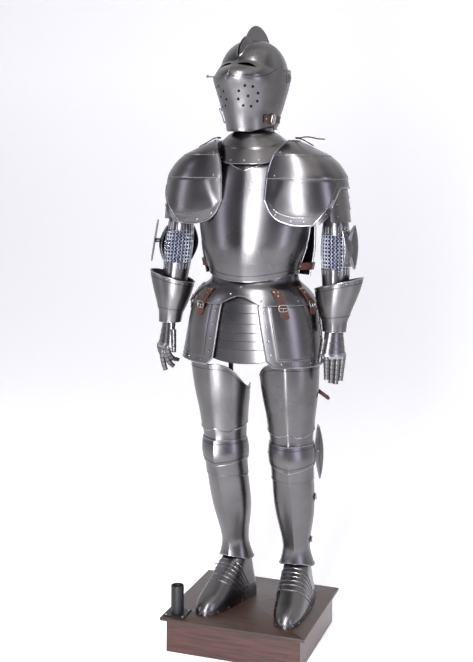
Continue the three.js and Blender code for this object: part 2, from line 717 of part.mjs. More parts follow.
// Back-of-hand plate, a knuckle plate and four fingers with a thumb, as open channels.
function gauntletHand(place, curl) {
  const back = sheet((u, v, offset) => {
    const a = rad(lerp(-108, 108, v));
    const t = 1 - u;
    const w = lerp(28, 40, t) + offset;
    const d = lerp(20, 21, t) + offset;
    const section = handTurn(vec(w * Math.sin(a), -d * Math.cos(a), 0));
    return place(section.add(vec(0, -13 - 9 * t, lerp(1044, 958, t))));
  }, 2, 8);
  const knuckles = sheet((u, v, offset) => {
    const a = rad(lerp(-100, 100, v));
    const section = handTurn(vec((42 + offset) * Math.sin(a), -(23 + offset) * Math.cos(a), 0));
    return place(section.add(vec(0, -22, lerp(950, 966, u))));
  }, 1, 8, 3.5);
  const fingers = FINGERS.map(({ x, length }) => finger(place, x, curl, length));
  return join(back, knuckles, ...fingers, thumb(place));
}

const FINGERS = [
  { x: -28, length: 74 }, { x: -9.5, length: 86 }, { x: 9.5, length: 90 }, { x: 28, length: 80 },
];
const HAND_TURN = rad(40); // the back of the hand faces forwards and outwards
const handTurn = (p) => p.applyAxisAngle(vec(0, 0, 1), HAND_TURN);

function finger(place, x, curl, length) {
  return sheet((u, v, offset) => {
    const a = rad(lerp(-125, 125, v));
    const t = 1 - u;
    const bend = curl * t;
    const r = lerp(10.2, 7.6, t) + offset;
    const down = length * (curl > 0 ? Math.sin(bend) / curl : t);
    const inward = length * (curl > 0 ? (1 - Math.cos(bend)) / curl : 0.1 * t);
    const front = r * Math.cos(a); // of the channel, across its own line
    const section = vec(
      x * lerp(1, 0.86, t) + r * Math.sin(a),
      inward - 10 - front * Math.cos(bend),
      -front * Math.sin(bend),
    );
    return place(handTurn(section).add(vec(0, -22, 958 - down)));
  }, 2, 4);
}

function thumb(place) {
  return sheet((u, v, offset) => {
    const a = rad(lerp(-120, 120, v));
    const t = 1 - u;
    const r = lerp(10.5, 8, t) + offset;
    const p = vec(-32 - 12 * t + r * Math.sin(a), 2 + 4 * t - r * Math.cos(a), 0);
    return place(handTurn(p).add(vec(0, -20, lerp(1012, 938, t))));
  }, 3, 4);
}

for (const side of ['left', 'right']) {
  const place = armPlace(side);
  const turn = side === 'left' ? (g) => g : mirrored;
  add(suit, `pauldron_${side}`, turn(pauldron()), steel());
  add(suit, `arm_lames_${side}`, turn(armLames()), steel());
  add(suit, `rerebrace_${side}`, turn(tube(ARM, 1335, 1402, 0, [2, 14], place)), steel());
  const mail = tube(ARM, 1208, 1362, -4, [4, 14], place, { power: 2 }, MAIL_WALL);
  add(suit, `mail_sleeve_${side}`, turn(mail), mailSteel());
  add(suit, `couter_${side}`, turn(couter(place, ARM_SIDES[side].wing)), steel());
  add(suit, `vambrace_${side}`, turn(tube(ARM, 1084, 1228, 0, [3, 14], place)), steel());
  add(suit, `gauntlet_cuff_${side}`, turn(gauntletCuff(place)), steel());
  add(suit, `gauntlet_hand_${side}`, turn(gauntletHand(place, side === 'left' ? 0 : 1.3)), steel());
}

// ---------------------------------------------------------------- legs
function legPlace(side, turnOut) {
  const { axis, lean } = LEG_SIDES[side];
  return (p) => {
    p.applyAxisAngle(vec(0, 0, 1), rad(turnOut));
    return p.setX(p.x + axis + lean * (p.z - LEG_BASE));
  };
}
const SHIN = { power: 2.1, keel: 5, span: 45 };
const WRAP = 122; // degrees that the open leg plates reach round each side

function cuisse(place, { top, dip }) {
  const low = (a) => 692 + 22 * Math.sin(rad(Math.abs(a) * 0.75)) ** 2;
  const high = (a) => top - dip * Math.sin(rad(clamp(a, -90, 0))) ** 4;
  return plate(LEG, { from: -WRAP, to: WRAP, low, high, lift: LAYER, grid: [3, 14], ring: SHIN, place });
}

function kneeLame(place, low, high) {
  return plate(LEG, { from: -104, to: 104, low, high, grid: [1, 14], ring: SHIN, place });
}

function poleyn(place, wing) {
  const cap = plate(LEG, {
    from: -104, to: 104, low: 583, high: 663, grid: [4, 14], place,
    lift: (u) => LAYER + 5 * Math.sin(Math.PI * u), ring: { ...SHIN, keel: 9 },
  });
  const middle = 632;
  const boss = rod(place(vec(70, 12, middle)), place(vec(86, wing, middle)), 7);
  const leafShape = { z: middle, half: 92, ahead: 20, behind: 18, x: 87, y: wing, turn: 50, tilt: 0 };
  return join(cap, boss, leaf(place, leafShape));
}

function greave(place) {
  const low = (a) => 247 + (Math.cos(rad(a)) > 0 ? 16 : 4) * Math.cos(rad(a)) ** 2;
  const high = (a) => 536 + 18 * Math.max(0, Math.cos(rad(a)));
  return tube(LEG, low, high, -LAYER, [7, 12], place, SHIN);
}

function sabaton(place) {
  const ring = { power: 2.9, keel: 3, span: 30 };
  return tube(FOOT, PLINTH.height + SEAT_GAP, 258, -1, [7, 14], place, ring, 2.6);
}

for (const side of ['left', 'right']) {
  const leg = LEG_SIDES[side];
  const place = legPlace(side, leg.yaw);
  const turn = side === 'left' ? (g) => g : mirrored;
  add(suit, `cuisse_${side}`, turn(cuisse(place, leg)), steel());
  add(suit, `knee_lame_upper_${side}`, turn(kneeLame(place, 652, 706)), steel());
  add(suit, `poleyn_${side}`, turn(poleyn(place, leg.wing)), steel());
  add(suit, `knee_lame_lower_${side}`, turn(kneeLame(place, 544, 596)), steel());
  add(suit, `greave_${side}`, turn(greave(place)), steel());
  add(suit, `sabaton_${side}`, turn(sabaton(legPlace(side, leg.foot))), steel());
}

// ---------------------------------------------------------------- shoulder laces
const LACE_RADIUS = 2;
const LACE_SIDES = 8;
const LACE_STEP = 8; // mm between its sections

// From the free end over the knot by the collar to the other free end.
const LACE_LEFT = [
  [233, -58, 1624], [222, -56, 1624.5], [210, -54, 1625.5], [197, -51, 1628], [184, -48, 1630.5],
  [172, -44, 1631.5], [160, -40, 1630.5], [149, -36, 1629], [140, -31, 1628.5], [134, -24, 1629],
  [133, -15, 1629], [137, -6, 1628], [145, 0, 1625.5], [154, 3, 1621], [163, 4, 1616],
  [172, 4, 1611], [181, 4, 1606],
];
const LACE_RIGHT = [
  [-118, -30, 1629], [-124, -29, 1629], [-130, -26, 1628.5], [-137, -22, 1627.5], [-145, -18, 1625],
  [-153, -14, 1621], [-161, -11, 1617], [-169, -9, 1613], [-177, -8, 1609], [-186, -7, 1604.5],
  [-194, -6, 1601],
];

function lace(points) {
  const path = new THREE.CatmullRomCurve3(points.map((p) => vec(...p)));
  const corners = Array.from({ length: LACE_SIDES }, (_, k) => {
    const turn = (k / LACE_SIDES) * 2 * Math.PI;
    return new THREE.Vector2(LACE_RADIUS * Math.cos(turn), LACE_RADIUS * Math.sin(turn));
  });
  return new THREE.ExtrudeGeometry(new THREE.Shape(corners), {
    extrudePath: path, steps: Math.round(path.getLength() / LACE_STEP), bevelEnabled: false,
  });
}
add(suit, 'shoulder_lace_left', lace(LACE_LEFT), leather());
add(suit, 'shoulder_lace_right', lace(LACE_RIGHT), leather());

export default model;
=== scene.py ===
"""Looks of a suit of plate armour on its stand and plinth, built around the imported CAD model.

Shapes are worked out in millimetres, in the suit's own frame (the suit faces -Y, the wearer's
left side is +X), and are turned into metres in the row frame when a piece is made.
"""

import math

import bmesh
import bpy
import numpy as np
from mathutils import Matrix, Vector

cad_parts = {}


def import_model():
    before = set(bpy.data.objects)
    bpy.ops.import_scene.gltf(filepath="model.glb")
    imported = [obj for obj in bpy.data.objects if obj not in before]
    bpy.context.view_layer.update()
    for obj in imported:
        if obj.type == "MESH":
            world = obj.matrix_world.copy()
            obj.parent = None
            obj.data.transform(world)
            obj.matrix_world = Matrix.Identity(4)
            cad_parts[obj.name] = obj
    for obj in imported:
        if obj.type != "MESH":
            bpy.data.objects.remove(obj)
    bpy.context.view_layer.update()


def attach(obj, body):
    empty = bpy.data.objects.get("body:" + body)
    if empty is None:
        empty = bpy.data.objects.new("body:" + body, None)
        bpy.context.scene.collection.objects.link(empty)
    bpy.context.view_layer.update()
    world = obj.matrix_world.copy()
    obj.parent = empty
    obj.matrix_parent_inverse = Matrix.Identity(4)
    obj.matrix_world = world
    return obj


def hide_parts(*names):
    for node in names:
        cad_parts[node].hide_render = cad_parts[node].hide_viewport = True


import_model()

MM = 0.001
SUIT_OFFSET = np.array([-20.0, 40.0, 0.0])
HELMET_SHIFT = np.array([-16.0, 0.0, 0.0])
HELMET_TURN = math.radians(-11.5)
WALL = 1.5
LEATHER = 2.4
CLEAR = 1.3
DETAIL = 0.78  # share of the grid sizes below that the walls are built with
LAYER = 2.8
STANDING = 117.9  # height that the feet, posts and socket stand at, just above the plinth
CAMERA = {"place": (1.0354, -3.2230, 1.5174), "yaw": 18.902, "pitch": 8.328, "roll": 0.732,
          "lens": 58.42}

# Sections: height, half-width, front depth, back depth, centre y. They match the CAD solids.
TORSO = [
    [1180, 143, 129, 98, 0], [1210, 147, 137, 101, 0], [1250, 158, 147, 108, 0],
    [1300, 173, 153, 114, 0], [1360, 182, 151, 118, 0], [1430, 186, 142, 120, 0],
    [1490, 176, 130, 116, 0], [1540, 150, 116, 105, 0], [1590, 110, 98, 88, 0],
]
BACK = [
    [1180, 170, 98, 98, 12], [1210, 176, 101, 101, 12], [1250, 184, 108, 108, 12],
    [1300, 190, 114, 114, 10], [1360, 190, 118, 118, 8], [1430, 189, 120, 120, 4],
    [1490, 179, 116, 116, 2], [1540, 153, 105, 105, 0], [1590, 112, 88, 88, 0],
]
HIPS = [
    [930, 227, 164, 150, 0], [986, 222, 166, 146, 0], [1052, 214, 168, 140, 0],
    [1101, 204, 166, 134, 0], [1133, 191, 158, 124, 0], [1165, 168, 146, 108, 0],
    [1188, 142, 130, 91, 0], [1210, 137, 126, 88, 0], [1230, 134, 124, 86, 0],
]
NECK = [
    [1548, 138, 137, 116, 0], [1570, 130, 123, 110, 0], [1595, 118, 108, 102, 0],
    [1620, 102, 94, 90, 0], [1640, 78, 80, 76, 0], [1651, 61, 66, 63, 0], [1695, 56, 60, 58, 0],
]
SHOULDER = [
    [1360, 190, 126, 100, 0], [1375, 190, 132, 104, 0], [1412, 188, 140, 110, 0],
    [1448, 183, 142, 112, 0], [1483, 176, 139, 110, 0], [1515, 168, 133, 108, 0],
    [1546, 149, 126, 103, 0], [1572, 120, 117, 96, 0], [1590, 84, 103, 84, 0],
    [1608, 46, 78, 62, 0], [1622, 12, 42, 34, 0],
]
ARM = [
    [1040, 31, 28, 28, -6], [1100, 35, 32, 32, -5], [1160, 40, 38, 38, -3], [1230, 45, 43, 43, 0],
    [1290, 47, 45, 47, 0], [1345, 43, 43, 43, 0], [1375, 39, 41, 41, 0], [1420, 35, 39, 39, 0],
]
CUFF = [
    [1028, 37, 31, 31, -12], [1064, 41, 36, 36, -10], [1086, 49, 43, 43, -7],
    [1119, 60, 50, 50, -5], [1143, 67, 55, 55, -2], [1172, 74, 59, 59, 0], [1206, 80, 61, 61, 0],
]
CUFF_SHIFT = 9
LEG = [
    [238, 64, 66, 58, 30], [262, 56, 56, 54, 29], [285, 50, 49, 50, 28], [307, 47, 46, 50, 27],
    [338, 50, 48, 58, 24], [382, 58, 52, 72, 19], [425, 65, 57, 80, 14], [475, 69, 62, 74, 8],
    [520, 70, 66, 68, 3], [560, 69, 70, 64, -1], [600, 70, 73, 64, -3], [640, 69, 72, 65, -2],
    [676, 70, 71, 68, 0], [700, 72, 72, 70, 0], [750, 77, 76, 75, 0], [800, 85, 82, 80, 0],
    [850, 91, 86, 84, 0], [900, 94, 88, 86, 0], [945, 95, 89, 87, 0],
]
FOOT = [
    [118, 56, 240, 46, 30], [134, 57, 238, 47, 30], [150, 56, 226, 46, 30], [166, 54, 202, 45, 30],
    [184, 51, 168, 44, 30], [204, 48, 132, 44, 30], [224, 46, 98, 44, 30], [244, 44, 60, 43, 29],
    [262, 41, 38, 42, 29],
]
BEVOR = [
    [1653, 74, 94, 80, 0], [1690, 79, 105, 84, 0], [1715, 88, 114, 93, 0], [1742, 95, 123, 101, 0],
    [1768, 102, 134, 109, 0], [1806, 109, 151, 119, 0], [1845, 110, 152, 121, 0],
]
NAPE = [
    [1652, 68, 80, 88, 8], [1690, 71, 80, 84, 8], [1715, 79, 80, 92, 8], [1742, 86, 80, 100, 8],
    [1768, 91, 80, 108, 9], [1812, 95, 80, 116, 10],
]
DOME = {"y": 10, "z": 1812, "radius": 116, "half": 96, "front": 26, "side": 87, "power": 2.35}
PIVOT = {"y": 28, "z": 1812}
COMB = {"front": 50, "back": 150, "height": 45, "peak": 0.45}
VISOR = {"half": 102.5, "low": -3, "high": 65, "side_high": 84}
VISOR_LINE = [
    [-6, 157], [0, 156], [13, 136], [19, 124], [24, 119.6], [30, 119.6], [50, 119.6], [84, 119.6],
]
VISOR_RIDGE = [
    [-6, 10, 60], [6, 10, 50], [16, 3, 20], [24, 0, 6], [44, 19, 15], [65, 22, 18], [84, 22, 18],
]
BREATH = {"radius": 4, "ring": 31, "count": 8, "angle": 27, "height": 1750}
LEG_SIDES = {
    "right": {"axis": 68, "lean": 0.076, "yaw": 6, "foot": 13, "top": 914, "dip": 76,
              "wing": 32, "flare": 20},
    "left": {"axis": 151, "lean": -0.054, "yaw": 8, "foot": 4.5, "top": 926, "dip": 52,
             "wing": 14, "flare": 0},
}
ARM_SIDES = {
    "right": {"axis": 256, "lean": -0.1, "wing": {"x": 84, "y": -5, "turn": 71, "tilt": 5}},
    "left": {"axis": 259, "lean": -0.02, "wing": {"x": 64, "y": -13, "turn": 48, "tilt": 0}},
}
SIDES = ("left", "right")


# ---------------------------------------------------------------- camera
def make_camera():
    data = bpy.data.cameras.new("camera")
    camera = bpy.data.objects.new("camera", data)
    bpy.context.scene.collection.objects.link(camera)
    yaw, pitch, roll = (math.radians(CAMERA[turn]) for turn in ("yaw", "pitch", "roll"))
    forward = Vector((-math.sin(yaw) * math.cos(pitch), math.cos(yaw) * math.cos(pitch), -math.sin(pitch)))
    level = Vector((math.cos(yaw), math.sin(yaw), 0))
    upright = level.cross(forward)
    right = level * math.cos(roll) + upright * math.sin(roll)
    up = upright * math.cos(roll) - level * math.sin(roll)
    turn = Matrix((right, up, -forward)).transposed().to_4x4()
    camera.matrix_world = Matrix.Translation(CAMERA["place"]) @ turn
    data.lens = CAMERA["lens"]
    bpy.context.scene.camera = camera


make_camera()


# ---------------------------------------------------------------- small maths
def lerp(a, b, t):
    return a + (b - a) * t


def smooth(x, low, high):
    t = np.clip((np.asarray(x, float) - low) / (high - low), 0, 1)
    return t * t * (3 - 2 * t)


def sin(angle):
    return np.sin(np.radians(angle))


def cos(angle):
    return np.cos(np.radians(angle))


def power(value, exponent):
    return np.sign(value) * np.abs(value) ** exponent


def interpolate(rows, at):
    """Smooth values through [position, value...] rows, without overshoot between them."""
    rows = np.array(rows, float)
    place, values = rows[:, 0], rows[:, 1:]
    step = np.diff(place)[:, None]
    secant = np.diff(values, axis=0) / step
    before, after = secant[:-1], secant[1:]
    total = np.where(before * after > 0, before + after, 1)
    inner = np.where(before * after > 0, 2 * before * after / total, 0)
    slope = np.concatenate([secant[:1], inner, secant[-1:]])
    t = np.clip(np.asarray(at, float), place[0], place[-1])
    k = np.clip(np.searchsorted(place, t, side="right") - 1, 0, len(place) - 2)
    span = (place[k + 1] - place[k])[..., None]
    s = ((t - place[k]) / (place[k + 1] - place[k]))[..., None]
    result = ((2 * s**3 - 3 * s**2 + 1) * values[k] + (s**3 - 2 * s**2 + s) * span * slope[k]
              + (3 * s**2 - 2 * s**3) * values[k + 1] + (s**3 - s**2) * span * slope[k + 1])
    return np.moveaxis(result, -1, 0)


def ring_point(rows, angle, z, lift=0.0, shape=2.1, keel=0.0, span=50.0, x=0.0):
    """A point on a section: angle 0 is the front, +90 the wearer's left; lift goes outwards."""
    width, front, back, y = interpolate(rows, z)
    s, c = sin(angle), cos(angle)
    wrapped = np.abs((np.asarray(angle) + 180) % 360 - 180)
    ridge = keel * np.maximum(0, 1 - wrapped / span) ** 2
    depth = np.where(c > 0, front, back) + lift
    return np.stack(np.broadcast_arrays(
        x + (width + lift) * power(s, 2 / shape), y - depth * power(c, 2 / shape) - ridge, z), -1)


def angle_at(rows, x, z, shape=2.1):
    width = interpolate(rows, z)[0]
    return np.degrees(np.arcsin(np.clip(np.abs(x / width), 0, 1) ** (shape / 2))) * np.sign(x)


def steps(x, edges, height):
    """How far overlapping lames stand out: each has its full height at its lower edge."""
    out = np.zeros_like(np.asarray(x, float))
    for low, high in zip(edges[:-1], edges[1:]):
        inside = (x >= low) & (x < high)
        out = np.where(inside, height * (1 - (x - low) / (high - low)), out)
    return out


# ---------------------------------------------------------------- shapes
STEEL, HIGHLIGHT_PAINT, SHADE_PAINT = 0, 1, 2  # material of a face: plate; lighter steel as a painted highlight on edges and rivets; darkened steel as painted shade on inner faces and thin lines


class Shape:
    """Points in millimetres and faces of one piece, gathered part by part."""

    def __init__(self):
        self.points, self.faces, self.paint, self.count = [], [], [], 0

    def add(self, points, faces, paint=STEEL):
        points = np.asarray(points, float).reshape(-1, 3)
        self.points.append(points)
        self.faces.append(np.asarray(faces, int) + self.count)
        self.paint.append(np.full(len(faces), paint))
        self.count += len(points)

    def wall(self, surface, rows, columns, thickness=WALL, wrapped=False, inside=SHADE_PAINT, paint=STEEL):
        """A closed wall from surface(u, v, offset): u runs up, v to the wearer's left. Its inner faces are
        darkened steel by default, as painted shade.
        """
        rows, columns = round(rows * DETAIL), round(columns * DETAIL)
        across = columns if wrapped else columns + 1
        u = np.repeat(np.linspace(0, 1, rows + 1)[:, None], across, 1)
        v = np.repeat((np.arange(across) / columns)[None, :], rows + 1, 0)
        layer = (rows + 1) * across
        grid = np.arange(layer).reshape(rows + 1, across)
        if wrapped:
            grid = np.concatenate([grid, grid[:, :1]], 1)
        a, b, c, d = grid[:-1, :-1], grid[:-1, 1:], grid[1:, 1:], grid[1:, :-1]
        outer = np.stack([a, b, c, d], -1).reshape(-1, 4)
        rim = [np.stack([grid[0, :-1], grid[0, :-1] + layer, grid[0, 1:] + layer, grid[0, 1:]], -1),
               np.stack([grid[-1, :-1], grid[-1, 1:], grid[-1, 1:] + layer, grid[-1, :-1] + layer], -1)]
        if not wrapped:
            rim += [np.stack([grid[:-1, 0], grid[1:, 0], grid[1:, 0] + layer, grid[:-1, 0] + layer], -1),
                    np.stack([grid[:-1, -1], grid[:-1, -1] + layer, grid[1:, -1] + layer, grid[1:, -1]], -1)]
        rim = np.concatenate(rim)
        faces = np.concatenate([outer, rim, outer[:, ::-1] + layer])
        layers = [surface(u, v, offset).reshape(-1, 3) for offset in (0.0, -thickness)]
        self.add(np.concatenate(layers), faces, paint)
        self.paint[-1] = np.concatenate([
            np.full(len(outer) + len(rim), paint), np.full(len(outer), inside)])

    def tube(self, path, radius, sides=8, closed=False, paint=HIGHLIGHT_PAINT):
        """A round bead along a path of points; radius may change along it."""
        path = np.asarray(path, float)
        count = len(path)
        radius = np.broadcast_to(np.asarray(radius, float), (count,))
        ahead = np.roll(path, -1, 0) if closed else np.concatenate([path[1:], path[-1:]])
        behind = np.roll(path, 1, 0) if closed else np.concatenate([path[:1], path[:-1]])
        tangent = ahead - behind
        tangent /= np.linalg.norm(tangent, axis=1)[:, None] + 1e-9
        side = np.cross(tangent[0], [0.31, 0.52, 0.79])
        turns = np.arange(sides) / sides * 2 * math.pi
        rings = []
        for k in range(count):
            side = side - tangent[k] * np.dot(side, tangent[k])
            side /= np.linalg.norm(side)
            other = np.cross(tangent[k], side)
            rings.append(path[k] + radius[k] * (
                np.cos(turns)[:, None] * side + np.sin(turns)[:, None] * other))
        last = count if closed else count - 1
        faces = [[k * sides + j, k * sides + (j + 1) % sides,
                  (k + 1) % count * sides + (j + 1) % sides, (k + 1) % count * sides + j]
                 for k in range(last) for j in range(sides)]
        points = np.concatenate(rings)
        if not closed:
            points = np.concatenate([points, path[:1], path[-1:]])
            start, end = count * sides, count * sides + 1
            far = (count - 1) * sides
            faces += [[start, (j + 1) % sides, j, j] for j in range(sides)]
            faces += [[end, far + j, far + (j + 1) % sides, far + (j + 1) % sides] for j in range(sides)]
        self.add(points, faces, paint)

    def rivet(self, spot, normal, radius=3.4, height=2.2, paint=HIGHLIGHT_PAINT):
        """A domed head on a plate."""
        normal = np.asarray(normal, float)
        normal = normal / np.linalg.norm(normal)
        side = np.cross(normal, [0.2, 0.3, 0.93])
        side /= np.linalg.norm(side)
        other = np.cross(normal, side)
        sides, rings = 10, 3
        points, faces = [], []
        for k in range(rings):
            lean = k / rings * math.pi / 2
            for j in range(sides):
                turn = j / sides * 2 * math.pi
                points.append(spot + normal * (height * math.sin(lean) - 0.4) + radius * math.cos(lean) * (
                    math.cos(turn) * side + math.sin(turn) * other))
        points.append(spot + normal * (height - 0.4))
        for k in range(rings - 1):
            for j in range(sides):
                faces.append([k * sides + j, k * sides + (j + 1) % sides,
                              (k + 1) * sides + (j + 1) % sides, (k + 1) * sides + j])
        base = (rings - 1) * sides
        faces += [[base + j, base + (j + 1) % sides, rings * sides, rings * sides] for j in range(sides)]
        faces += [[j + 1, j, 0, 0] for j in range(1, sides - 1)]
        self.add(points, faces, paint)

    def rivets(self, surface, spots, radius=3.4, height=2.2, paint=HIGHLIGHT_PAINT):
        for u, v in spots:
            u, v = np.array(float(u)), np.array(float(v))
            spot = surface(u, v, 0.0)
            self.rivet(spot, surface(u, v, 1.0) - spot, radius, height, paint)

    def edge(self, surface, u, v, radius=1.8, offset=-0.6, paint=None, closed=False):
        """A rolled edge or a line along u, v. Rolled edges get the lighter steel as a painted highlight, the
        thinnest lines the darkened steel as a painted shadow line.
        """
        if paint is None:
            paint = HIGHLIGHT_PAINT if radius >= 1.6 else STEEL if radius > 1 else SHADE_PAINT
        u, v = np.broadcast_arrays(np.asarray(u, float), np.asarray(v, float))
        self.tube(surface(u, v, offset), radius, closed=closed, paint=paint)

    def loft(self, rings, paint=STEEL):
        """A solid skinned over closed rings of points, with flat ends."""
        rings = np.asarray(rings, float)
        count, sides = rings.shape[:2]
        grid = np.arange(count * sides).reshape(count, sides)
        grid = np.concatenate([grid, grid[:, :1]], 1)
        faces = np.stack([grid[:-1, :-1], grid[:-1, 1:], grid[1:, 1:], grid[1:, :-1]], -1).reshape(-1, 4)
        ends = []
        for row, centre in ((0, count * sides), (-1, count * sides + 1)):
            for a, b in zip(grid[row, :-1], grid[row, 1:]):
                ends.append([centre, b, a, a] if row == 0 else [centre, a, b, b])
        points = np.concatenate([rings.reshape(-1, 3), [rings[0].mean(0)], [rings[-1].mean(0)]])
        self.add(points, np.concatenate([faces, ends]), paint)

    def lathe(self, centre, axis, profile, sides=28, paint=STEEL):
        """A turned solid: profile rows are distance along the axis and radius."""
        axis = np.asarray(axis, float) / np.linalg.norm(axis)
        side = np.cross(axis, [0.2, 0.3, 0.93])
        side /= np.linalg.norm(side)
        other = np.cross(axis, side)
        turns = np.arange(sides) / sides * 2 * math.pi
        circle = np.cos(turns)[:, None] * side + np.sin(turns)[:, None] * other
        self.loft([np.asarray(centre) + axis * along + circle * radius for along, radius in profile], paint)

    def border(self, surface, radius=1.8, count=90, sides=(True, True, True, True)):
        """Rolled edges along the bottom, the top, and the two side edges."""
        t = np.linspace(0, 1, count)
        for wanted, u, v in zip(sides, (0, 1, t, t), (t, t, 0, 1)):
            if wanted:
                self.edge(surface, u, v, radius)

    def box(self, centre, along, up, size, paint=STEEL):
        """A box with its long side along one direction."""
        along = np.asarray(along, float) / np.linalg.norm(along)
        up = np.asarray(up, float) - along * np.dot(up, along)
        up /= np.linalg.norm(up)
        out = np.cross(along, up)
        corners = [[x, y, z] for x in (-1, 1) for y in (-1, 1) for z in (-1, 1)]
        half = np.array(size) / 2
        points = [np.asarray(centre) + along * c[0] * half[0] + up * c[1] * half[1] + out * c[2] * half[2]
                  for c in corners]
        faces = [[0, 1, 3, 2], [4, 6, 7, 5], [0, 4, 5, 1], [2, 3, 7, 6], [0, 2, 6, 4], [1, 5, 7, 3]]
        self.add(points, faces, paint)

    def mirrored(self):
        other = Shape()
        other.points = [p * [-1, 1, 1] for p in self.points]
        other.faces = [f[:, ::-1] for f in self.faces]
        other.paint, other.count = self.paint, self.count
        return other


def to_suit(points):
    return points + SUIT_OFFSET


def to_row(points):
    return points


def to_helmet(points):
    c, s = math.cos(HELMET_TURN), math.sin(HELMET_TURN)
    turned = np.stack([points[..., 0] * c - points[..., 1] * s,
                       points[..., 0] * s + points[..., 1] * c, points[..., 2]], -1)
    return turned + HELMET_SHIFT + SUIT_OFFSET


def sided(shape, side):
    """Shapes are made for the left side and mirrored for the right."""
    return shape.mirrored() if side == "right" else shape


def walled(surface, rows, columns, edge, **wall):
    """A wall with rolled edges all round it."""
    shape = Shape()
    shape.wall(surface, rows, columns, **wall)
    shape.border(surface, edge)
    return shape


def leather_wall(surface, rows, columns):
    shape = Shape()
    shape.wall(surface, rows, columns, LEATHER, inside=0, paint=0)
    return shape


def new_mesh(name, shape, place):
    """A shape's mesh in metres. Corners that a face repeats are dropped."""
    points = place(np.concatenate(shape.points)) * MM
    faces = [tuple(dict.fromkeys(face)) for face in np.concatenate(shape.faces).tolist()]
    mesh = bpy.data.meshes.new(name)
    mesh.from_pydata(points.tolist(), [], faces)
    return mesh


def make_piece(name, shape, materials, nodes=(), body="suit", place=to_suit, sharp=32):
    """Makes the Blender object of a shape, gives it its materials and rides it on a body."""
    mesh = new_mesh(name, shape, place)
    for material in materials:
        mesh.materials.append(material)
    paint = np.minimum(np.concatenate(shape.paint), len(materials) - 1)
    mesh.polygons.foreach_set("material_index", paint.astype(np.int32))
    mesh.shade_smooth()
    mesh.set_sharp_from_angle(angle=math.radians(sharp))
    mesh.update()
    piece = bpy.data.objects.new(name, mesh)
    bpy.context.scene.collection.objects.link(piece)
    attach(piece, body)
    if nodes:
        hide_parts(*nodes)
    return piece


def cut_holes(piece, shape, place):
    """Cuts a shape out of a piece, so that the hole goes right through its wall."""
    cutter_mesh = new_mesh("cutter", shape, place)
    cutter = bpy.data.objects.new("cutter", cutter_mesh)
    bpy.context.scene.collection.objects.link(cutter)
    tidy = bmesh.new()
    tidy.from_mesh(cutter_mesh)
    bmesh.ops.recalc_face_normals(tidy, faces=tidy.faces)
    tidy.to_mesh(cutter_mesh)
    tidy.free()
    modifier = piece.modifiers.new("holes", "BOOLEAN")
    modifier.operation = "DIFFERENCE"
    modifier.solver = "EXACT"
    modifier.object = cutter
    bpy.context.view_layer.update()
    graph = bpy.context.evaluated_depsgraph_get()
    result = bpy.data.meshes.new_from_object(piece.evaluated_get(graph))
    piece.modifiers.clear()
    piece.data = result
    bpy.data.objects.remove(cutter)


# ---------------------------------------------------------------- materials
def noise(nodes, links, scale, detail=3.0, stretch=None):
    """A noise texture in the object's own coordinates, stretched if asked."""
    place = nodes.new("ShaderNodeTexCoord")
    texture = nodes.new("ShaderNodeTexNoise")
    texture.inputs["Scale"].default_value = scale
    texture.inputs["Detail"].default_value = detail
    source = place.outputs["Object"]
    if stretch:
        mapping = nodes.new("ShaderNodeMapping")
        mapping.inputs["Scale"].default_value = stretch
        links.new(source, mapping.inputs["Vector"])
        source = mapping.outputs["Vector"]
    links.new(source, texture.inputs["Vector"])
    return texture.outputs["Fac"]


def ramp(nodes, links, source, stops):
    """Colours along a value: (position, (r, g, b)) for each stop."""
    node = nodes.new("ShaderNodeValToRGB")
    while len(node.color_ramp.elements) < len(stops):
        node.color_ramp.elements.new(0.5)
    for element, (position, colour) in zip(node.color_ramp.elements, stops):
        element.position = position
        element.color = (*colour, 1)
    links.new(source, node.inputs["Fac"])
    return node.outputs["Color"]


def spread(nodes, links, source, low, high):
    node = nodes.new("ShaderNodeMapRange")
    node.inputs["To Min"].default_value = low
    node.inputs["To Max"].default_value = high
    links.new(source, node.inputs["Value"])
    return node.outputs["Result"]


def bump(nodes, links, source, strength, distance):
    node = nodes.new("ShaderNodeBump")
    node.inputs["Strength"].default_value = strength
    node.inputs["Distance"].default_value = distance
    links.new(source, node.inputs["Height"])
    return node.outputs["Normal"]


def material(name, colours, rough, broad, fine, relief, rough_from_fine=False, sockets=()):
    """Broad noise in the colour and fine noise in the relief; sockets are the shader's constants."""
    made = bpy.data.materials.new(name)
    made.use_nodes = True
    nodes, links = made.node_tree.nodes, made.node_tree.links
    shader = nodes["Principled BSDF"]
    for socket, value in sockets:
        shader.inputs[socket].default_value = value
    clouds, grain = noise(nodes, links, *broad), noise(nodes, links, *fine)
    links.new(ramp(nodes, links, clouds, colours), shader.inputs["Base Color"])
    links.new(spread(nodes, links, grain if rough_from_fine else clouds, *rough), shader.inputs["Roughness"])
    links.new(bump(nodes, links, grain, relief, 0.001), shader.inputs["Normal"])
    return made


def metal(name, dark, light, rough):
    """Brushed metal: soft clouds in its colour and roughness, with a fine brushed grain."""
    return material(name, [(0.3, dark), (0.7, light)], rough, (9, 4), (60, 2, (6, 6, 0.6)), 0.05,
                    sockets=[("Metallic", 1.0)])


def leather_material(dark, light):
    return material("leather", [(0.25, dark), (0.75, light)], (0.48, 0.72), (40, 5), (420, 3), 0.35,
                    sockets=[("Specular IOR Level", 0.4)])


def wood_material(name, dark, light):
    """Varnished mahogany with its grain along X."""
    return material(name, [(0.36, dark), (0.66, light)], (0.34, 0.52), (26, 6, (0.35, 3.5, 5.0)),
                    (150, 4, (0.2, 2.5, 3.0)), 0.12, rough_from_fine=True,
                    sockets=[("Coat Weight", 0.25), ("Coat Roughness", 0.25)])


def paint_material(name, dark, light, rough):
    return material(name, [(0.3, dark), (0.7, light)], rough, (30, 4), (500, 2), 0.1)


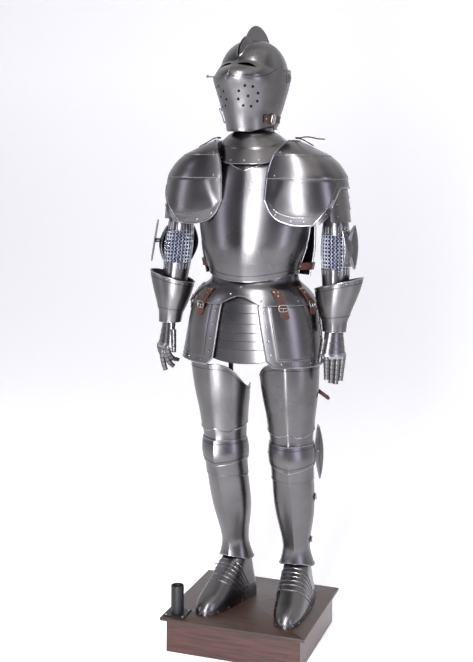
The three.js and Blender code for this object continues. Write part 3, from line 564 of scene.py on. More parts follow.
PLATE = metal("steel_plate", (0.115, 0.111, 0.112), (0.160, 0.154, 0.156), (0.24, 0.33))
# The lighter steel on edges and rivets is a painted highlight; the darkened steel on inner faces and thin
# lines is painted shade.
HIGHLIGHT_STEEL = metal("steel_painted_highlight", (0.22, 0.22, 0.23), (0.31, 0.31, 0.32), (0.22, 0.32))
SHADE_STEEL = metal("steel_inside", (0.035, 0.035, 0.038), (0.06, 0.06, 0.065), (0.5, 0.65))
RING_STEEL = metal("mail_ring", (0.42, 0.44, 0.50), (0.66, 0.68, 0.74), (0.22, 0.36))
BUCKLE = metal("buckle_steel", (0.30, 0.29, 0.28), (0.50, 0.49, 0.47), (0.28, 0.4))
HIDE = leather_material((0.024, 0.008, 0.005), (0.072, 0.025, 0.014))
CLOTH = paint_material("sleeve_cloth", (0.004, 0.005, 0.018), (0.010, 0.012, 0.045), (0.8, 0.95))
WOOD_TOP = wood_material("mahogany_top", (0.020, 0.0085, 0.005), (0.044, 0.018, 0.010))
WOOD_FRONT = wood_material("mahogany_box", (0.024, 0.007, 0.005), (0.068, 0.019, 0.011))
BLACK = paint_material("black_paint", (0.003, 0.003, 0.004), (0.008, 0.008, 0.009), (0.42, 0.55))
ARMOUR = (PLATE, HIGHLIGHT_STEEL, SHADE_STEEL)


# ---------------------------------------------------------------- laces
def curve(points, step=2.0):
    """Points along a smooth curve through given ones, about one step apart."""
    p = np.array(points, float)
    p = np.concatenate([2 * p[:1] - p[1:2], p, 2 * p[-1:] - p[-2:-1]])
    out = []
    for a, b, c, d in zip(p[:-3], p[1:-2], p[2:-1], p[3:]):
        parts = max(2, int(np.linalg.norm(c - b) / step))
        for t in np.arange(parts) / parts:
            out.append(0.5 * (2 * b + (c - a) * t + (2 * a - 5 * b + 4 * c - d) * t**2
                              + (3 * b - a - 3 * c + d) * t**3))
    return np.array(out + [p[-2]])


# Each lace leaves its knot by the collar; the left one has two free ends.
LACES = {
    "left_front": [
        [133, -15, 1629], [134, -24, 1629], [140, -31, 1628.5], [149, -36, 1629],
        [160, -40, 1630.5], [172, -44, 1631.5], [184, -48, 1630.5], [197, -51, 1628],
        [210, -54, 1625.5], [222, -56, 1624.5], [233, -58, 1624],
    ],
    "left_back": [
        [133, -15, 1629], [137, -6, 1628], [145, 0, 1625.5], [154, 3, 1621],
        [163, 4, 1616], [172, 4, 1611], [181, 4, 1606],
    ],
    "right": [
        [-118, -30, 1629], [-124, -29, 1629], [-130, -26, 1628.5], [-137, -22, 1627.5],
        [-145, -18, 1625], [-153, -14, 1621], [-161, -11, 1617], [-169, -9, 1613],
        [-177, -8, 1609], [-186, -7, 1604.5], [-194, -6, 1601],
    ],
}
LACE_RADIUS = 2.0


def knot(shape, centre):
    """A small overhand knot: a trefoil loop of the lace."""
    turns = np.linspace(0, 2 * math.pi, 40, endpoint=False)
    loop = np.stack([np.sin(turns) + 2 * np.sin(2 * turns), np.cos(turns) - 2 * np.cos(2 * turns),
                     -np.sin(3 * turns)], -1)
    shape.tube(np.array(centre) + loop * [1.9, 1.5, 1.9], 1.6, closed=True, paint=STEEL)


def make_laces():
    for name, points in LACES.items():
        side = name.split("_")[0]
        line = curve(points)
        shape = Shape()
        shape.tube(line, LACE_RADIUS, 10, paint=STEEL)
        lace = make_piece(f"lace_{name}", shape, (HIDE,), [f"shoulder_lace_{side}"])
        knots = []
        if name != "left_back":
            tied = Shape()
            knot(tied, points[0])
            knots = [make_piece(f"lace_knot_{side}", tied, (HIDE,), ())]
        path = to_suit(line) * MM
        tuple(path[0])


make_laces()


# ---------------------------------------------------------------- plates on a section
def plate(rows, start, stop, low, high, lift=0.0, place=None, **ring):
    """The surface of a plate between two angles and two heights, as surface(u, v, offset)."""
    def value(part, *at):
        return part(*at) if callable(part) else part

    def surface(u, v, offset):
        angle = lerp(value(start, u), value(stop, u), v)
        z = lerp(value(low, angle), value(high, angle), u)
        points = ring_point(rows, angle, z, value(lift, u, v, angle) + offset, **ring)
        return place(points) if place else points
    return surface


LINE = np.linspace(0, 1, 64)


def buckle(shape, surface, u, v, across, along, wide=15.0, high=12.0, radius=1.25):
    """A frame with a tongue on a strap; across and along are small steps in (u, v)."""
    u, v = float(u), float(v)

    def spot(du, dv, offset):
        return surface(np.array(u + du), np.array(v + dv), offset)
    centre = spot(0, 0, 2.2)
    side = spot(*across, 2.2) - centre
    side /= np.linalg.norm(side)
    way = spot(*along, 2.2) - centre
    way = way - side * np.dot(way, side)
    way /= np.linalg.norm(way)
    turns = np.linspace(0, 2 * math.pi, 28, endpoint=False)
    squared = np.stack([power(np.cos(turns), 0.55) * wide, power(np.sin(turns), 0.6) * high], -1)
    shape.tube(centre + squared[:, :1] * side + squared[:, 1:] * way, radius, closed=True)
    shape.tube([centre - side * wide, centre + side * wide], radius * 0.9)
    shape.tube([centre, centre + way * (high + 1.5)], radius * 0.8)


# ---------------------------------------------------------------- torso
def breastplate():
    side = 86

    def low(a):
        return 1188 + 24 * sin(np.abs(a)) ** 2

    def high(a):
        neck = 1556 + 18 * smooth(np.abs(a), 0, 42)
        return lerp(neck, 1396, smooth(np.abs(a), 60, side))

    surface = plate(TORSO, -side, side, low, high, keel=9, span=50)
    shape = walled(surface, 60, 90, 2.2)
    angle = lerp(-42, 42, LINE)
    shape.tube(ring_point(TORSO, angle, 1527 + np.abs(angle), 0.6, keel=9, span=50), 1.8)
    shape.edge(surface, 0.045, LINE, 0.9, 0.0)
    shape.rivets(surface, [(0.5, 0.015), (0.5, 0.985), (0.2, 0.02), (0.2, 0.98)], 3.2)
    make_piece("breastplate_plate", shape, ARMOUR, ["breastplate"])


def backplate():
    def high(a):
        return lerp(1396, 1562, smooth(np.minimum(a, 360 - a), 92, 134))

    surface = plate(BACK, 91, 269, 1200, high, shape=2.5)
    shape = walled(surface, 50, 80, 2.0, inside=STEEL)
    shape.edge(surface, 0.04, LINE, 0.9, 0.0)
    make_piece("backplate_plate", shape, ARMOUR, ["backplate"])


def neck_place(points):
    shifted = points.copy()
    shifted[..., 0] += -11 * smooth(points[..., 2], 1570, 1650)
    return shifted


def gorget():
    def front_low(a):
        return 1548 + 36 * smooth(np.abs(a), 15, 88)

    def back_low(a):
        return 1560 + 20 * smooth(np.abs(a - 180), 25, 88)

    def lames(u, v, a):
        return steps(u, [0, 0.34, 0.62, 0.80], 1.6)

    for name, first, last, low in (("front", -87, 87, front_low), ("back", 90, 270, back_low)):
        surface = plate(NECK, first, last, low, 1690, lames, neck_place, shape=2.0)
        shape = walled(surface, 60, 80, 1.6)
        shape.rivets(surface, [(0.07, v) for v in np.linspace(0.05, 0.95, 9)], 2.8, 1.8)
        if name == "front":
            shape.rivets(surface, [(u, 0.94) for u in (0.2, 0.36, 0.5, 0.64)], 2.6, 1.7)
        make_piece(f"gorget_{name}_plate", shape, ARMOUR, [f"gorget_{name}"])


def waist_plate():
    def arch(a):
        t = np.clip(np.abs(a) / 22, 0, 1)
        return 1118 + 28 * cos(t * 90) ** 2

    def lift(u, v, a):
        return 4.6 * (1 - smooth(u, 0, 0.6))

    surface = plate(HIPS, -97, 97, arch, 1228, lift)
    shape = walled(surface, 30, 110, 2.0)
    middle = [(0.32, 0.5), (0.16, 0.455), (0.16, 0.545), (0.12, 0.40), (0.12, 0.60)]
    shape.rivets(surface, middle + [(0.12, v) for v in (0.08, 0.2, 0.8, 0.92)], 3.6, 2.4)
    make_piece("waist_band", shape, ARMOUR, ["waist_plate"])


def culet():
    def lames(u, v, a):
        return steps(u, [0, 0.2, 0.4, 0.6], 1.6)

    surface = plate(HIPS, 101, 259, 1040, 1228, lames)
    shape = walled(surface, 50, 70, 1.8)
    shape.rivets(surface, [(u, v) for u in (0.1, 0.3, 0.5) for v in (0.04, 0.96)], 3.0)
    make_piece("culet_plate", shape, ARMOUR, ["culet"])


LAME_EDGES = [1150, 1093, 1060, 1031, 1005, 978, 935]


def fauld():
    """Lames under the arch. Each lower edge lies over the next lame."""
    for k, (top, bottom) in enumerate(zip(LAME_EDGES[:-1], LAME_EDGES[1:])):
        last = k == len(LAME_EDGES) - 2
        drop = 32 if last else 9
        upper = top + (0 if k == 0 else 8)

        def low(a, drop=drop, bottom=bottom):
            return bottom + drop - drop * (1 - (a / 40) ** 2)

        def high(a, upper=upper):
            return upper + 5 - 5 * (1 - (a / 40) ** 2)

        def lift(u, v, a, first=(k == 0)):
            return -9 - 3 * u + (steps(u, [0.5, 1.001], 1.6) if first else 0)

        surface = plate(HIPS, -38, 38, low, high, lift)
        shape = Shape()
        shape.wall(surface, 16, 50)
        # Each lower edge is a thin line of darkened steel, a painted shadow under the lame.
        shape.edge(surface, 0, LINE, 1.2, paint=SHADE_PAINT)
        shape.edge(surface, LINE, 0, 0.9)
        shape.edge(surface, LINE, 1, 0.9)
        if k == 0:
            # A painted shadow line of darkened steel along the first lame's step.
            shape.edge(surface, 0.5, LINE, 1.2, 0.3, paint=SHADE_PAINT)
        make_piece(f"fauld_lame_{k + 1}_plate", shape, ARMOUR, [f"fauld_lame_{k + 1}"])


def tasset(side):
    outer, flare = 98, LEG_SIDES[side]["flare"]

    def surface(u, v, offset):
        z = lerp(926, 1126, u)
        corner = 16 * (1 - smooth(u, 0, 0.12))
        inner = angle_at(HIPS, lerp(92, 58, u) + corner, z)
        points = ring_point(HIPS, lerp(inner, outer, v), z, offset)
        points[..., 0] += flare * (1 - u) ** 2 * smooth(v, 0.4, 1)
        return points

    def stepped(u, v, offset):
        """The plate with its middle field raised inside a flat border."""
        inset = np.minimum(np.minimum(u / 0.12, (1 - u) / 0.05), np.minimum(v, 1 - v) / 0.13)
        return surface(u, v, offset + 1.4 * smooth(inset, 0.85, 1.1) - 0.8)

    shape = Shape()
    shape.wall(stepped, 70, 80)
    shape.border(surface, 2.6)
    corners = [(0.125, np.linspace(0.13, 0.87, 60)), (np.linspace(0.125, 0.95, 60), 0.13),
               (np.linspace(0.125, 0.95, 60), 0.87)]
    for u, v in corners:
        shape.edge(surface, u, v, 0.9, 0.1)
    for v in (0.065, 0.935):
        shape.rivets(surface, [(u, v) for u in (0.20, 0.42, 0.64, 0.86)], 4.4, 3.0)
    shape.rivets(surface, [(0.06, v) for v in (0.14, 0.28, 0.42, 0.56, 0.70, 0.84)], 3.2, 2.2)
    return shape


def side_strap():
    def surface(u, v, offset):
        angle, z = lerp(78, 101, v), lerp(1222, 1244, u)
        lift = LEATHER + CLEAR + offset
        front = ring_point(TORSO, angle, z, lift)
        back = ring_point(BACK, angle, z, lift, shape=2.5)
        share = smooth(angle, 79, 90)[..., None]
        return front * (1 - share) + back * share
    return surface


def tasset_strap(angle, low, high, drift):
    def surface(u, v, offset):
        z = lerp(low, high, u)
        over = 4.6 * smooth(z, 1094, 1116) * (1 - smooth(z, 1118, 1196))
        tip = np.sqrt(np.clip(1 - ((0.09 - u) / 0.09).clip(0) ** 2, 0.04, 1))
        half = 4.3 * tip * (1 + 0.22 * smooth(u, 0.82, 0.98))
        centre = angle + drift * (1 - u)
        return ring_point(HIPS, centre + lerp(-half, half, v), z, over + LEATHER + CLEAR + offset)
    return surface


def straps():
    """Each strap is leather; its buckle and rivets are steel pieces of their own."""
    for side in SIDES:
        places = {
            f"side_strap_{side}": (side_strap(), (0.5, 0.62), (0.4, 0), (0, 0.05), 12, 9),
            f"tasset_strap_front_{side}": (
                tasset_strap(36, 1076, 1166, 5), (0.40, 0.5), (0, 0.4), (-0.05, 0), 15, 10),
            f"tasset_strap_side_{side}": (
                tasset_strap(74, 1086, 1172, 3), (0.40, 0.5), (0, 0.4), (-0.05, 0), 15, 10),
        }
        for name, (surface, spot, across, along, wide, high) in places.items():
            strap = leather_wall(surface, 30, 14)
            for v in (0.1, 0.9):
                strap.edge(surface, np.linspace(0.06, 0.94, 40), v, 0.5, 0.0, paint=0)
            trim = Shape()
            buckle(trim, surface, *spot, across, along, wide, high)
            if name.startswith("side"):
                trim.rivets(surface, [(0.5, 0.12), (0.5, 0.9)], 2.6, 2)
            else:
                trim.rivets(surface, [(0.93, 0.28), (0.93, 0.72), (0.80, 0.5)], 2.6, 2)
            make_piece(f"{name}_leather", sided(strap, side), (HIDE,), [name])
            make_piece(f"{name}_buckle", sided(trim, side), (BUCKLE,))


breastplate()
backplate()
gorget()
waist_plate()
culet()
fauld()
for side in SIDES:
    make_piece(f"tasset_{side}_plate", sided(tasset(side), side), ARMOUR, [f"tasset_{side}"])
straps()


# ---------------------------------------------------------------- helmet
def dome_point(radius, half, angle, across):
    """About the dome's centre: angle 0 is forwards and 90 up, across runs from side to side."""
    reach = radius * power(cos(across), 2 / DOME["power"])
    return np.stack(np.broadcast_arrays(
        half * power(sin(across), 2 / DOME["power"]), DOME["y"] - reach * cos(angle),
        DOME["z"] + reach * sin(angle)), -1)


def skull_surface(u, v, offset):
    share = 0.62
    across = lerp(-DOME["side"], DOME["side"], v)
    angle = lerp(DOME["front"], 180, np.minimum(u / share, 1))
    over = dome_point(DOME["radius"] + offset, DOME["half"] + offset, angle, across)
    z = lerp(DOME["z"], 1658, np.maximum(u - share, 0) / (1 - share))
    squareness = lerp(2.0, DOME["power"], smooth(z, 1730, 1812))
    under = ring_point(NAPE, 180 - across, z, offset, squareness)
    return np.where((u <= share)[..., None], over, under)


def comb_rise(u):
    u = np.asarray(u, float)
    rising = np.abs(np.sin(np.clip(u / COMB["peak"], 0, 1) * math.pi / 2)) ** 1.2
    falling = np.abs(np.cos(np.clip((u - COMB["peak"]) / (1 - COMB["peak"]), 0, 1) * math.pi / 2)) ** 0.9
    return np.where(u < COMB["peak"], rising, falling)


def comb(shape):
    """A thin crest along the dome: wide at its root, with a rounded rope-like edge."""
    rings, crest = [], []
    for u in np.linspace(0, 1, 70):
        angle = lerp(COMB["front"], COMB["back"], u)
        low = DOME["radius"] - 1.2
        top = DOME["radius"] + max(COMB["height"] * float(comb_rise(u)), 0.8)
        section = []
        for t, half in ((0, 2.3), (0.12, 2.2), (0.5, 1.7), (0.85, 1.5), (0.96, 1.6), (1, 0.7)):
            section.append((half, lerp(low, top, t)))
        section = section + [(-half, reach) for half, reach in section[::-1]]
        points = [[half, DOME["y"] - reach * math.cos(math.radians(angle)),
                   DOME["z"] + reach * math.sin(math.radians(angle))] for half, reach in section]
        rings.append(points)
        crest.append(dome_point(top - 0.6, 0, angle, 0))
    shape.loft(rings)
    shape.tube(crest, 1.9, paint=STEEL)


def bore(shape, x, radius):
    shape.lathe([-x, PIVOT["y"], PIVOT["z"]], [1, 0, 0], [[0, radius], [2 * x, radius]], 32)


def skull():
    shape = Shape()
    shape.wall(skull_surface, 90, 70)
    piece = make_piece("helmet_skull_shell", shape, ARMOUR, ["helmet_skull"], place=to_helmet)
    holes = Shape()
    bore(holes, 130, 5)
    cut_holes(piece, holes, to_helmet)
    trim = Shape()
    comb(trim)
    trim.edge(skull_surface, 1, LINE, 1.8)
    along = np.array([[u, v] for v in (0.03, 0.97) for u in (0.72, 0.82, 0.92)])
    trim.rivets(skull_surface, along, 2.8)
    make_piece("helmet_comb", trim, ARMOUR, place=to_helmet)


def visor_point(angle, across, offset):
    radius = interpolate(VISOR_LINE, angle)[0]
    height, width = interpolate(VISOR_RIDGE, angle)
    x = dome_point(radius, VISOR["half"], angle, across)[..., 0]
    ridge = height * np.maximum(0, 1 - np.abs(x) / width)
    return dome_point(radius + offset + ridge, VISOR["half"] + offset, angle, across)


def visor_surface(u, v, offset):
    across = lerp(-83, 83, v)
    high = lerp(VISOR["high"], VISOR["side_high"], smooth(np.abs(across), 12, 50))
    return visor_point(lerp(VISOR["low"], high, u), across, offset)


def sight(shape, side):
    """A lens-shaped opening beside the nose, lower at its outer end."""
    t = np.linspace(0, 1, 24)
    corner, end = np.array([side * 8, 1846.0]), np.array([side * 68, 1835.0])
    outline = []
    for height, way in ((1860.0, t[:-1]), (1841.0, t[::-1][:-1])):
        middle = np.array([side * 38, height])
        for k in way:
            outline.append((1 - k) ** 2 * corner + 2 * k * (1 - k) * middle + k**2 * end)
    outline = np.array(outline) if side > 0 else np.array(outline)[::-1]
    shape.loft([np.stack([outline[:, 0], np.full(len(outline), y), outline[:, 1]], -1)
                for y in (-60.0, -180.0)])


def visor():
    shape = Shape()
    shape.wall(visor_surface, 90, 165)
    piece = make_piece("helmet_visor_shell", shape, ARMOUR, ["helmet_visor"], body="visor", place=to_helmet)
    holes = Shape()
    for side in (1, -1):
        sight(holes, side)
    holes.box([0, -70, 1914], [0, 1, 0], [0, 0, 1], [90, 80, 5.6])
    cut_holes(piece, holes, to_helmet)
    trim = Shape()
    middle = VISOR["half"] - 2.8
    for side in (1, -1):
        centre = [side * (middle - 1), PIVOT["y"], PIVOT["z"]]
        trim.lathe(centre, [side, 0, 0], [[0, 5], [0, 12], [1.6, 12], [2, 11.4], [2, 5]], 32)
        trim.box([side * middle, PIVOT["y"] - 25, PIVOT["z"]], [0, 1, 0], [0, 0, 1], [40, 19, 2])
        trim.edge(visor_surface, 0.01, lerp(0.02, 0.98, LINE), 1.0, 0.0)
    # A thin line of lighter steel along the nose ridge: a painted highlight.
    trim.tube(visor_point(lerp(0, 25, LINE), 0 * LINE, 0.0), 1.1)
    base = visor_point(np.array(0.0), np.array(-52.0), -1.0)
    way = np.array([-20.0, -20.0, 1.0])
    stem = [base + way * t for t in (0, 0.3, 0.6, 0.75, 0.82, 0.92, 1.0, 1.03)]
    trim.tube(stem, [2.6, 2.2, 2.0, 2.2, 4.2, 5.0, 4.0, 1.5], 20)
    make_piece("helmet_visor_fittings", trim, ARMOUR, body="visor", place=to_helmet)


BEVOR_RING = {"shape": 2.25, "keel": 12, "span": 55}


def bevor():
    def high(a):
        return 1806 + 30 * smooth(np.abs(a), 48, 88)

    def low(a):
        return 1647 + 19 * smooth(np.abs(a), 22, 95)

    surface = plate(BEVOR, -117, 117, low, high, **BEVOR_RING)
    shape = Shape()
    shape.wall(surface, 70, 150)
    piece = make_piece("helmet_bevor_shell", shape, ARMOUR, ["helmet_bevor"], place=to_helmet)
    holes = Shape()
    bore(holes, 130, 5)
    for side in (1, -1):
        centre = ring_point(BEVOR, side * BREATH["angle"], BREATH["height"], 0, **BEVOR_RING)
        out = np.array([sin(side * BREATH["angle"]), -cos(BREATH["angle"]), 0])
        across = np.array([-out[1] * side, out[0] * side, 0])
        spots = [(0, 0)] + [(BREATH["ring"] * math.cos(turn), BREATH["ring"] * math.sin(turn))
                            for turn in np.arange(BREATH["count"]) / BREATH["count"] * 2 * math.pi + 0.3]
        for sideways, up in spots:
            start = centre + across * sideways + [0, 0, up] - out * 30
            holes.lathe(start, out, [[0, BREATH["radius"]], [60, BREATH["radius"]]], 20)
    cut_holes(piece, holes, to_helmet)
    trim = Shape()
    trim.border(surface, 1.3, 140)
    for v in (0.02, 0.98):
        trim.rivets(surface, [(u, v) for u in (0.15, 0.4, 0.65)], 2.8)
    hook(trim, surface)
    make_piece("helmet_bevor_trim", trim, ARMOUR, place=to_helmet)


def hook(shape, surface):
    """A wire hook with its eye, low on the wearer's right side."""
    eye = surface(np.array(0.37), np.array(0.232), 2.0)
    turns = np.linspace(0, 2 * math.pi, 24, endpoint=False)
    near = surface(np.array(0.37), np.array(0.25), 2.0)
    side = (near - eye) / np.linalg.norm(near - eye)
    loop = np.cos(turns)[:, None] * side * 5 + np.sin(turns)[:, None] * [0, 0, 5]
    shape.tube(eye + loop, 1.3, closed=True)
    bend = [surface(np.array(u), np.array(v), lift) for u, v, lift in (
        (0.38, 0.250, 1), (0.39, 0.242, 7), (0.34, 0.236, 8), (0.24, 0.245, 6), (0.15, 0.255, 5),
        (0.12, 0.262, 3), (0.15, 0.272, 1))]
    shape.tube(curve(bend), 1.5)


def pivots():
    for side, name in ((1, "left"), (-1, "right")):
        shape = Shape()
        base = [side * 88, PIVOT["y"], PIVOT["z"]]
        profile = [[0, 8], [3, 8], [3, 4], [20, 4], [20, 15], [21.5, 15.5], [22.5, 14.5], [23, 11],
                   [24.2, 9.5], [24.6, 6], [26, 5], [27, 3], [27.3, 0.5]]
        shape.lathe(base, [side, 0, 0], profile, 36)
        for turn in np.arange(10) / 10 * 2 * math.pi:
            spot = [side * 110.8, PIVOT["y"] + 12.6 * math.cos(turn), PIVOT["z"] + 12.6 * math.sin(turn)]
            shape.rivet(np.array(spot), [side, 0, 0], 1.8, 1.3)
        make_piece(f"helmet_pivot_rosette_{name}", shape, ARMOUR, [f"helmet_pivot_{name}"], place=to_helmet)


def helmet_strap():
    surface = plate(BEVOR, 60, 112, 1674, 1696, LEATHER + 2, shape=2.25)
    strap = leather_wall(surface, 12, 40)
    make_piece("helmet_strap_leather", strap, (HIDE,), ["helmet_strap"], place=to_helmet)
    trim = Shape()
    buckle(trim, surface, 0.5, 0.42, (0.4, 0), (0, 0.05), 14, 10, 1.6)
    trim.rivets(surface, [(0.5, 0.1), (0.5, 0.88)], 2.6, 2)
    make_piece("helmet_strap_buckle", trim, (BUCKLE,), place=to_helmet)


skull()
visor()
bevor()
pivots()
helmet_strap()


# ---------------------------------------------------------------- shoulders
LOBE = [
    [-14, 1440], [-8, 1400], [0, 1375], [12, 1364], [30, 1366], [44, 1390], [56, 1440],
    [70, 1478], [170, 1478],
]
SHOULDER_RING = {"shape": 2.2, "x": 120}
UPPER_LAMES = (1505, 1575)


def on_shoulder(angle, z, offset):
    return ring_point(SHOULDER, angle, z, offset, **SHOULDER_RING)


def pauldron_grid(u, v):
    """Angle, lowest height and height of a point of the pauldron."""
    angle = lerp(-14, 168, v)
    low = interpolate(LOBE, angle)[0]
    return angle, low, lerp(low, 1620, u)


def pauldron_surface(u, v, offset):
    angle, _, z = pauldron_grid(u, v)
    return on_shoulder(angle, z, offset)


def crease_angle(z):
    return 52 - (1440 - z) * 0.325


def pauldron_relief(u, v, offset):
    """The field inside the border is raised, and the upper lames lie over one another."""
    angle, low, z = pauldron_grid(u, v)
    inner = angle + 12 - 9 * smooth(z, 1400, 1500)
    field = smooth(z - low, 24, 27) * smooth(inner, 0, 5) * (1 - smooth(z, 1500, 1503)) * 2.2
    lames = sum(2.0 * (z >= edge) * (1 - smooth(z, edge, edge + 34)) for edge in UPPER_LAMES)
    beyond = np.clip((angle - crease_angle(z)) / 9, 0, 1) * (angle < 75)
    turned = 5.0 * beyond * smooth(z, 1350, 1372) * (1 - smooth(z, 1400, 1444))
    return on_shoulder(angle, z, offset + field + lames + turned)


def shoulder_rivet(shape, angle, z, lift, radius, height):
    spot = on_shoulder(angle, z, lift)
    shape.rivet(spot, on_shoulder(angle, z, lift + 1) - spot, radius, height)


def pauldron():
    shape = Shape()
    shape.wall(pauldron_relief, 100, 150)
    shape.border(pauldron_surface, 2.8, 140)
    for edge in UPPER_LAMES:
        angle = lerp(-13, 167, LINE)
        shape.tube(on_shoulder(angle, edge + 0 * angle, 1.4), 1.3)
    angle = lerp(-5, 58, LINE)
    shape.tube(on_shoulder(angle, interpolate(LOBE, angle)[0] + 24, 0.9), 0.9)
    # The crease line is a tube of lighter steel, a painted highlight along the crease.
    heights = np.linspace(1362, 1442, 40)
    shape.tube(on_shoulder(crease_angle(heights), heights, 1.0), 1.7)
    for angle in (-4, 8, 20, 32, 43, 53):
        shoulder_rivet(shape, angle, float(interpolate(LOBE, angle)[0]) + 12, 0.0, 4.0, 2.8)
    for edge in UPPER_LAMES:
        for angle in (-6, 100, 160):
            shoulder_rivet(shape, angle, edge + 8.0, 1.4, 2.8, 2.0)
    return shape


def arm_lames():
    edges = [1490, 1448, 1412, 1375]
    below, tuck = LAYER + 2.4, 2
    heights, lifts = [], []
    for k, bottom in enumerate(edges[:0:-1]):
        heights += [bottom + (0 if k == 0 else 1), edges[2 - k]]
        lifts += [-below, -below - tuck]
    knots = np.linspace(0, 1, len(heights))

    def surface(u, v, offset):
        z, lift = np.interp(u, knots, heights), np.interp(u, knots, lifts)
        return on_shoulder(lerp(50, 140, v), z, lift + offset)

    shape = Shape()
    shape.wall(surface, 45, 50)
    shape.border(surface, 1.4, sides=(False, True, True, True))
    for u in knots[::2]:
        shape.edge(surface, u, LINE, 1.5, -0.3)
        shape.rivets(surface, [(u + 0.1, 0.12), (u + 0.1, 0.88)], 3.0)
    return shape


# ---------------------------------------------------------------- arms
def arm_place(side):
    axis, lean = ARM_SIDES[side]["axis"], ARM_SIDES[side]["lean"]

    def place(points):
        moved = points.copy()
        moved[..., 0] += axis + lean * (points[..., 2] - 1375)
        return moved
    return place


def leaf(place, z, half, ahead, behind, x, y, turn, tilt):
    """A pointed plate on edge; turn is the angle of its face from the front."""
    face = np.array([sin(turn), -cos(turn), 0])
    along = np.array([cos(turn), sin(turn), 0])

    def surface(u, v, offset):
        t = lerp(-0.97, 0.97, u)
        reach = lerp(-ahead * (1 - np.abs(t)) ** 0.8, behind * (1 - t * t), v)
        hollow = 2.2 * np.sin(v * math.pi)
        base = np.stack(np.broadcast_arrays(x - tilt * t, y + 0 * t, z + half * t), -1)
        return place(base + reach[..., None] * along + (offset + hollow)[..., None] * face)
    return surface


def add_leaf(shape, surface):
    shape.wall(surface, 60, 18, 2.0, inside=0)
    for v in (0, 1):
        shape.edge(surface, LINE, v, 1.7, -1.0)
    shape.edge(surface, lerp(0.08, 0.92, LINE), 0.45, 0.8, 0.0)


EDGE_TURN = np.linspace(0, 1, 72, endpoint=False)


def closed_plate(surface, rows, columns, bottom_edge, top_edge):
    """A plate that closes on itself, with a rolled edge at each end."""
    shape = Shape()
    shape.wall(surface, rows, columns, wrapped=True)
    shape.edge(surface, 0, EDGE_TURN, bottom_edge, closed=True)
    shape.edge(surface, 1, EDGE_TURN, top_edge, closed=True)
    return shape


def rerebrace(place):
    return closed_plate(plate(ARM, 0, 360, 1335, 1446, 0, place, shape=2.0), 20, 56, 1.7, 1.7)


def vambrace(place):
    surface = plate(ARM, 0, 360, 1084, 1228, 0, place, shape=2.0, keel=2.5, span=40)
    shape = closed_plate(surface, 26, 64, 1.8, 1.8)
    shape.edge(surface, lerp(0.02, 0.98, LINE), 0.3, 0.8, 0.0)
    shape.rivets(surface, [(0.85, 0.28), (0.45, 0.28), (0.85, 0.62)], 3.2)
    return shape


def couter(place, wing):
    def lift(u, v, a):
        return 4 + 14 * np.sin(math.pi * u)

    cup = plate(ARM, 40, 232, 1238, 1346, lift, place, shape=2.0)
    shape = walled(cup, 40, 56, 1.7)
    for u in (0.2, 0.8):
        shape.edge(cup, u, LINE, 0.9, 0.1)
    shape.rivets(cup, [(0.1, 0.08), (0.9, 0.08), (0.1, 0.9), (0.9, 0.9)], 3.0)
    start = place(np.array([56, wing["y"] + 8, 1298.0]))
    end = place(np.array([wing["x"] - 0.5, wing["y"] + 2, 1298.0]))
    shape.tube([start, end], 7, 20, paint=STEEL)
    add_leaf(shape, leaf(place, 1298, 70, 38, 12, wing["x"], wing["y"], wing["turn"], wing["tilt"]))
    return shape


def cuff(place):
    def outwards(points):
        moved = points.copy()
        moved[..., 0] += CUFF_SHIFT * smooth(points[..., 2], 1086, 1206)
        return place(moved)

    def high(a):
        return 1183 + 20 * sin(a)

    surface = plate(CUFF, 0, 360, 1034, high, 0, outwards, shape=2.0, keel=2, span=40)
    shape = closed_plate(surface, 30, 80, 1.6, 2.3)
    for u in (0.91, 0.30):
        shape.edge(surface, u, EDGE_TURN, 0.9, 0.1, closed=True)
    shape.rivets(surface, [(0.955, v) for v in np.arange(12) / 12], 2.8, 1.9)
    return shape


def hand_turn(points):
    c, s = math.cos(math.radians(40)), math.sin(math.radians(40))
    x, y, z = points[..., 0], points[..., 1], points[..., 2]
    return np.stack([x * c - y * s, x * s + y * c, z], -1)


CURL = {"left": 0, "right": 1.3}
FINGERS = [(-28, 74, 1.15), (-9.5, 86, 0.75), (9.5, 90, 0.35), (28, 80, 1.0)]  # x, length, share of curl


def hand(place, curl):
    """Back of the hand, knuckle plate, four fingers and a thumb as open channels with lames."""
    def back(u, v, offset):
        a, t = lerp(-108, 108, v), 1 - u
        w, d = lerp(28, 40, t) + offset, lerp(20, 21, t) + offset
        section = np.stack([w * sin(a), -d * cos(a), 0 * t], -1)
        base = np.stack([0 * t, -13 - 9 * t, lerp(1044, 958, t)], -1)
        return place(hand_turn(section) + base)

    def back_lames(u, v, offset):
        return back(u, v, offset + steps(u, [0, 0.25, 0.5, 0.75, 1.01], 1.2))

    def knuckles(u, v, offset):
        a = lerp(-100, 100, v)
        bulge = 2.5 * np.sin(math.pi * u) * (0.6 + 0.4 * np.abs(cos(a * 1.8)))
        section = np.stack([(42 + offset + bulge) * sin(a), -(23 + offset + bulge) * cos(a), 0 * a], -1)
        return place(hand_turn(section) + np.stack([0 * a, 0 * a - 22, lerp(950, 966, u)], -1))

    shape = Shape()
    shape.wall(back_lames, 32, 30)
    for u in (0, 0.25, 0.5, 0.75):
        shape.edge(back, u, LINE, 1.1, 0.4)
    # The knuckle plate is in the lighter steel, a painted highlight.
    shape.wall(knuckles, 8, 40, 3.5, paint=HIGHLIGHT_PAINT)
    for x, length, share in FINGERS:
        add_finger(shape, place, x, length, curl * share)
    add_thumb(shape, place)
    return shape


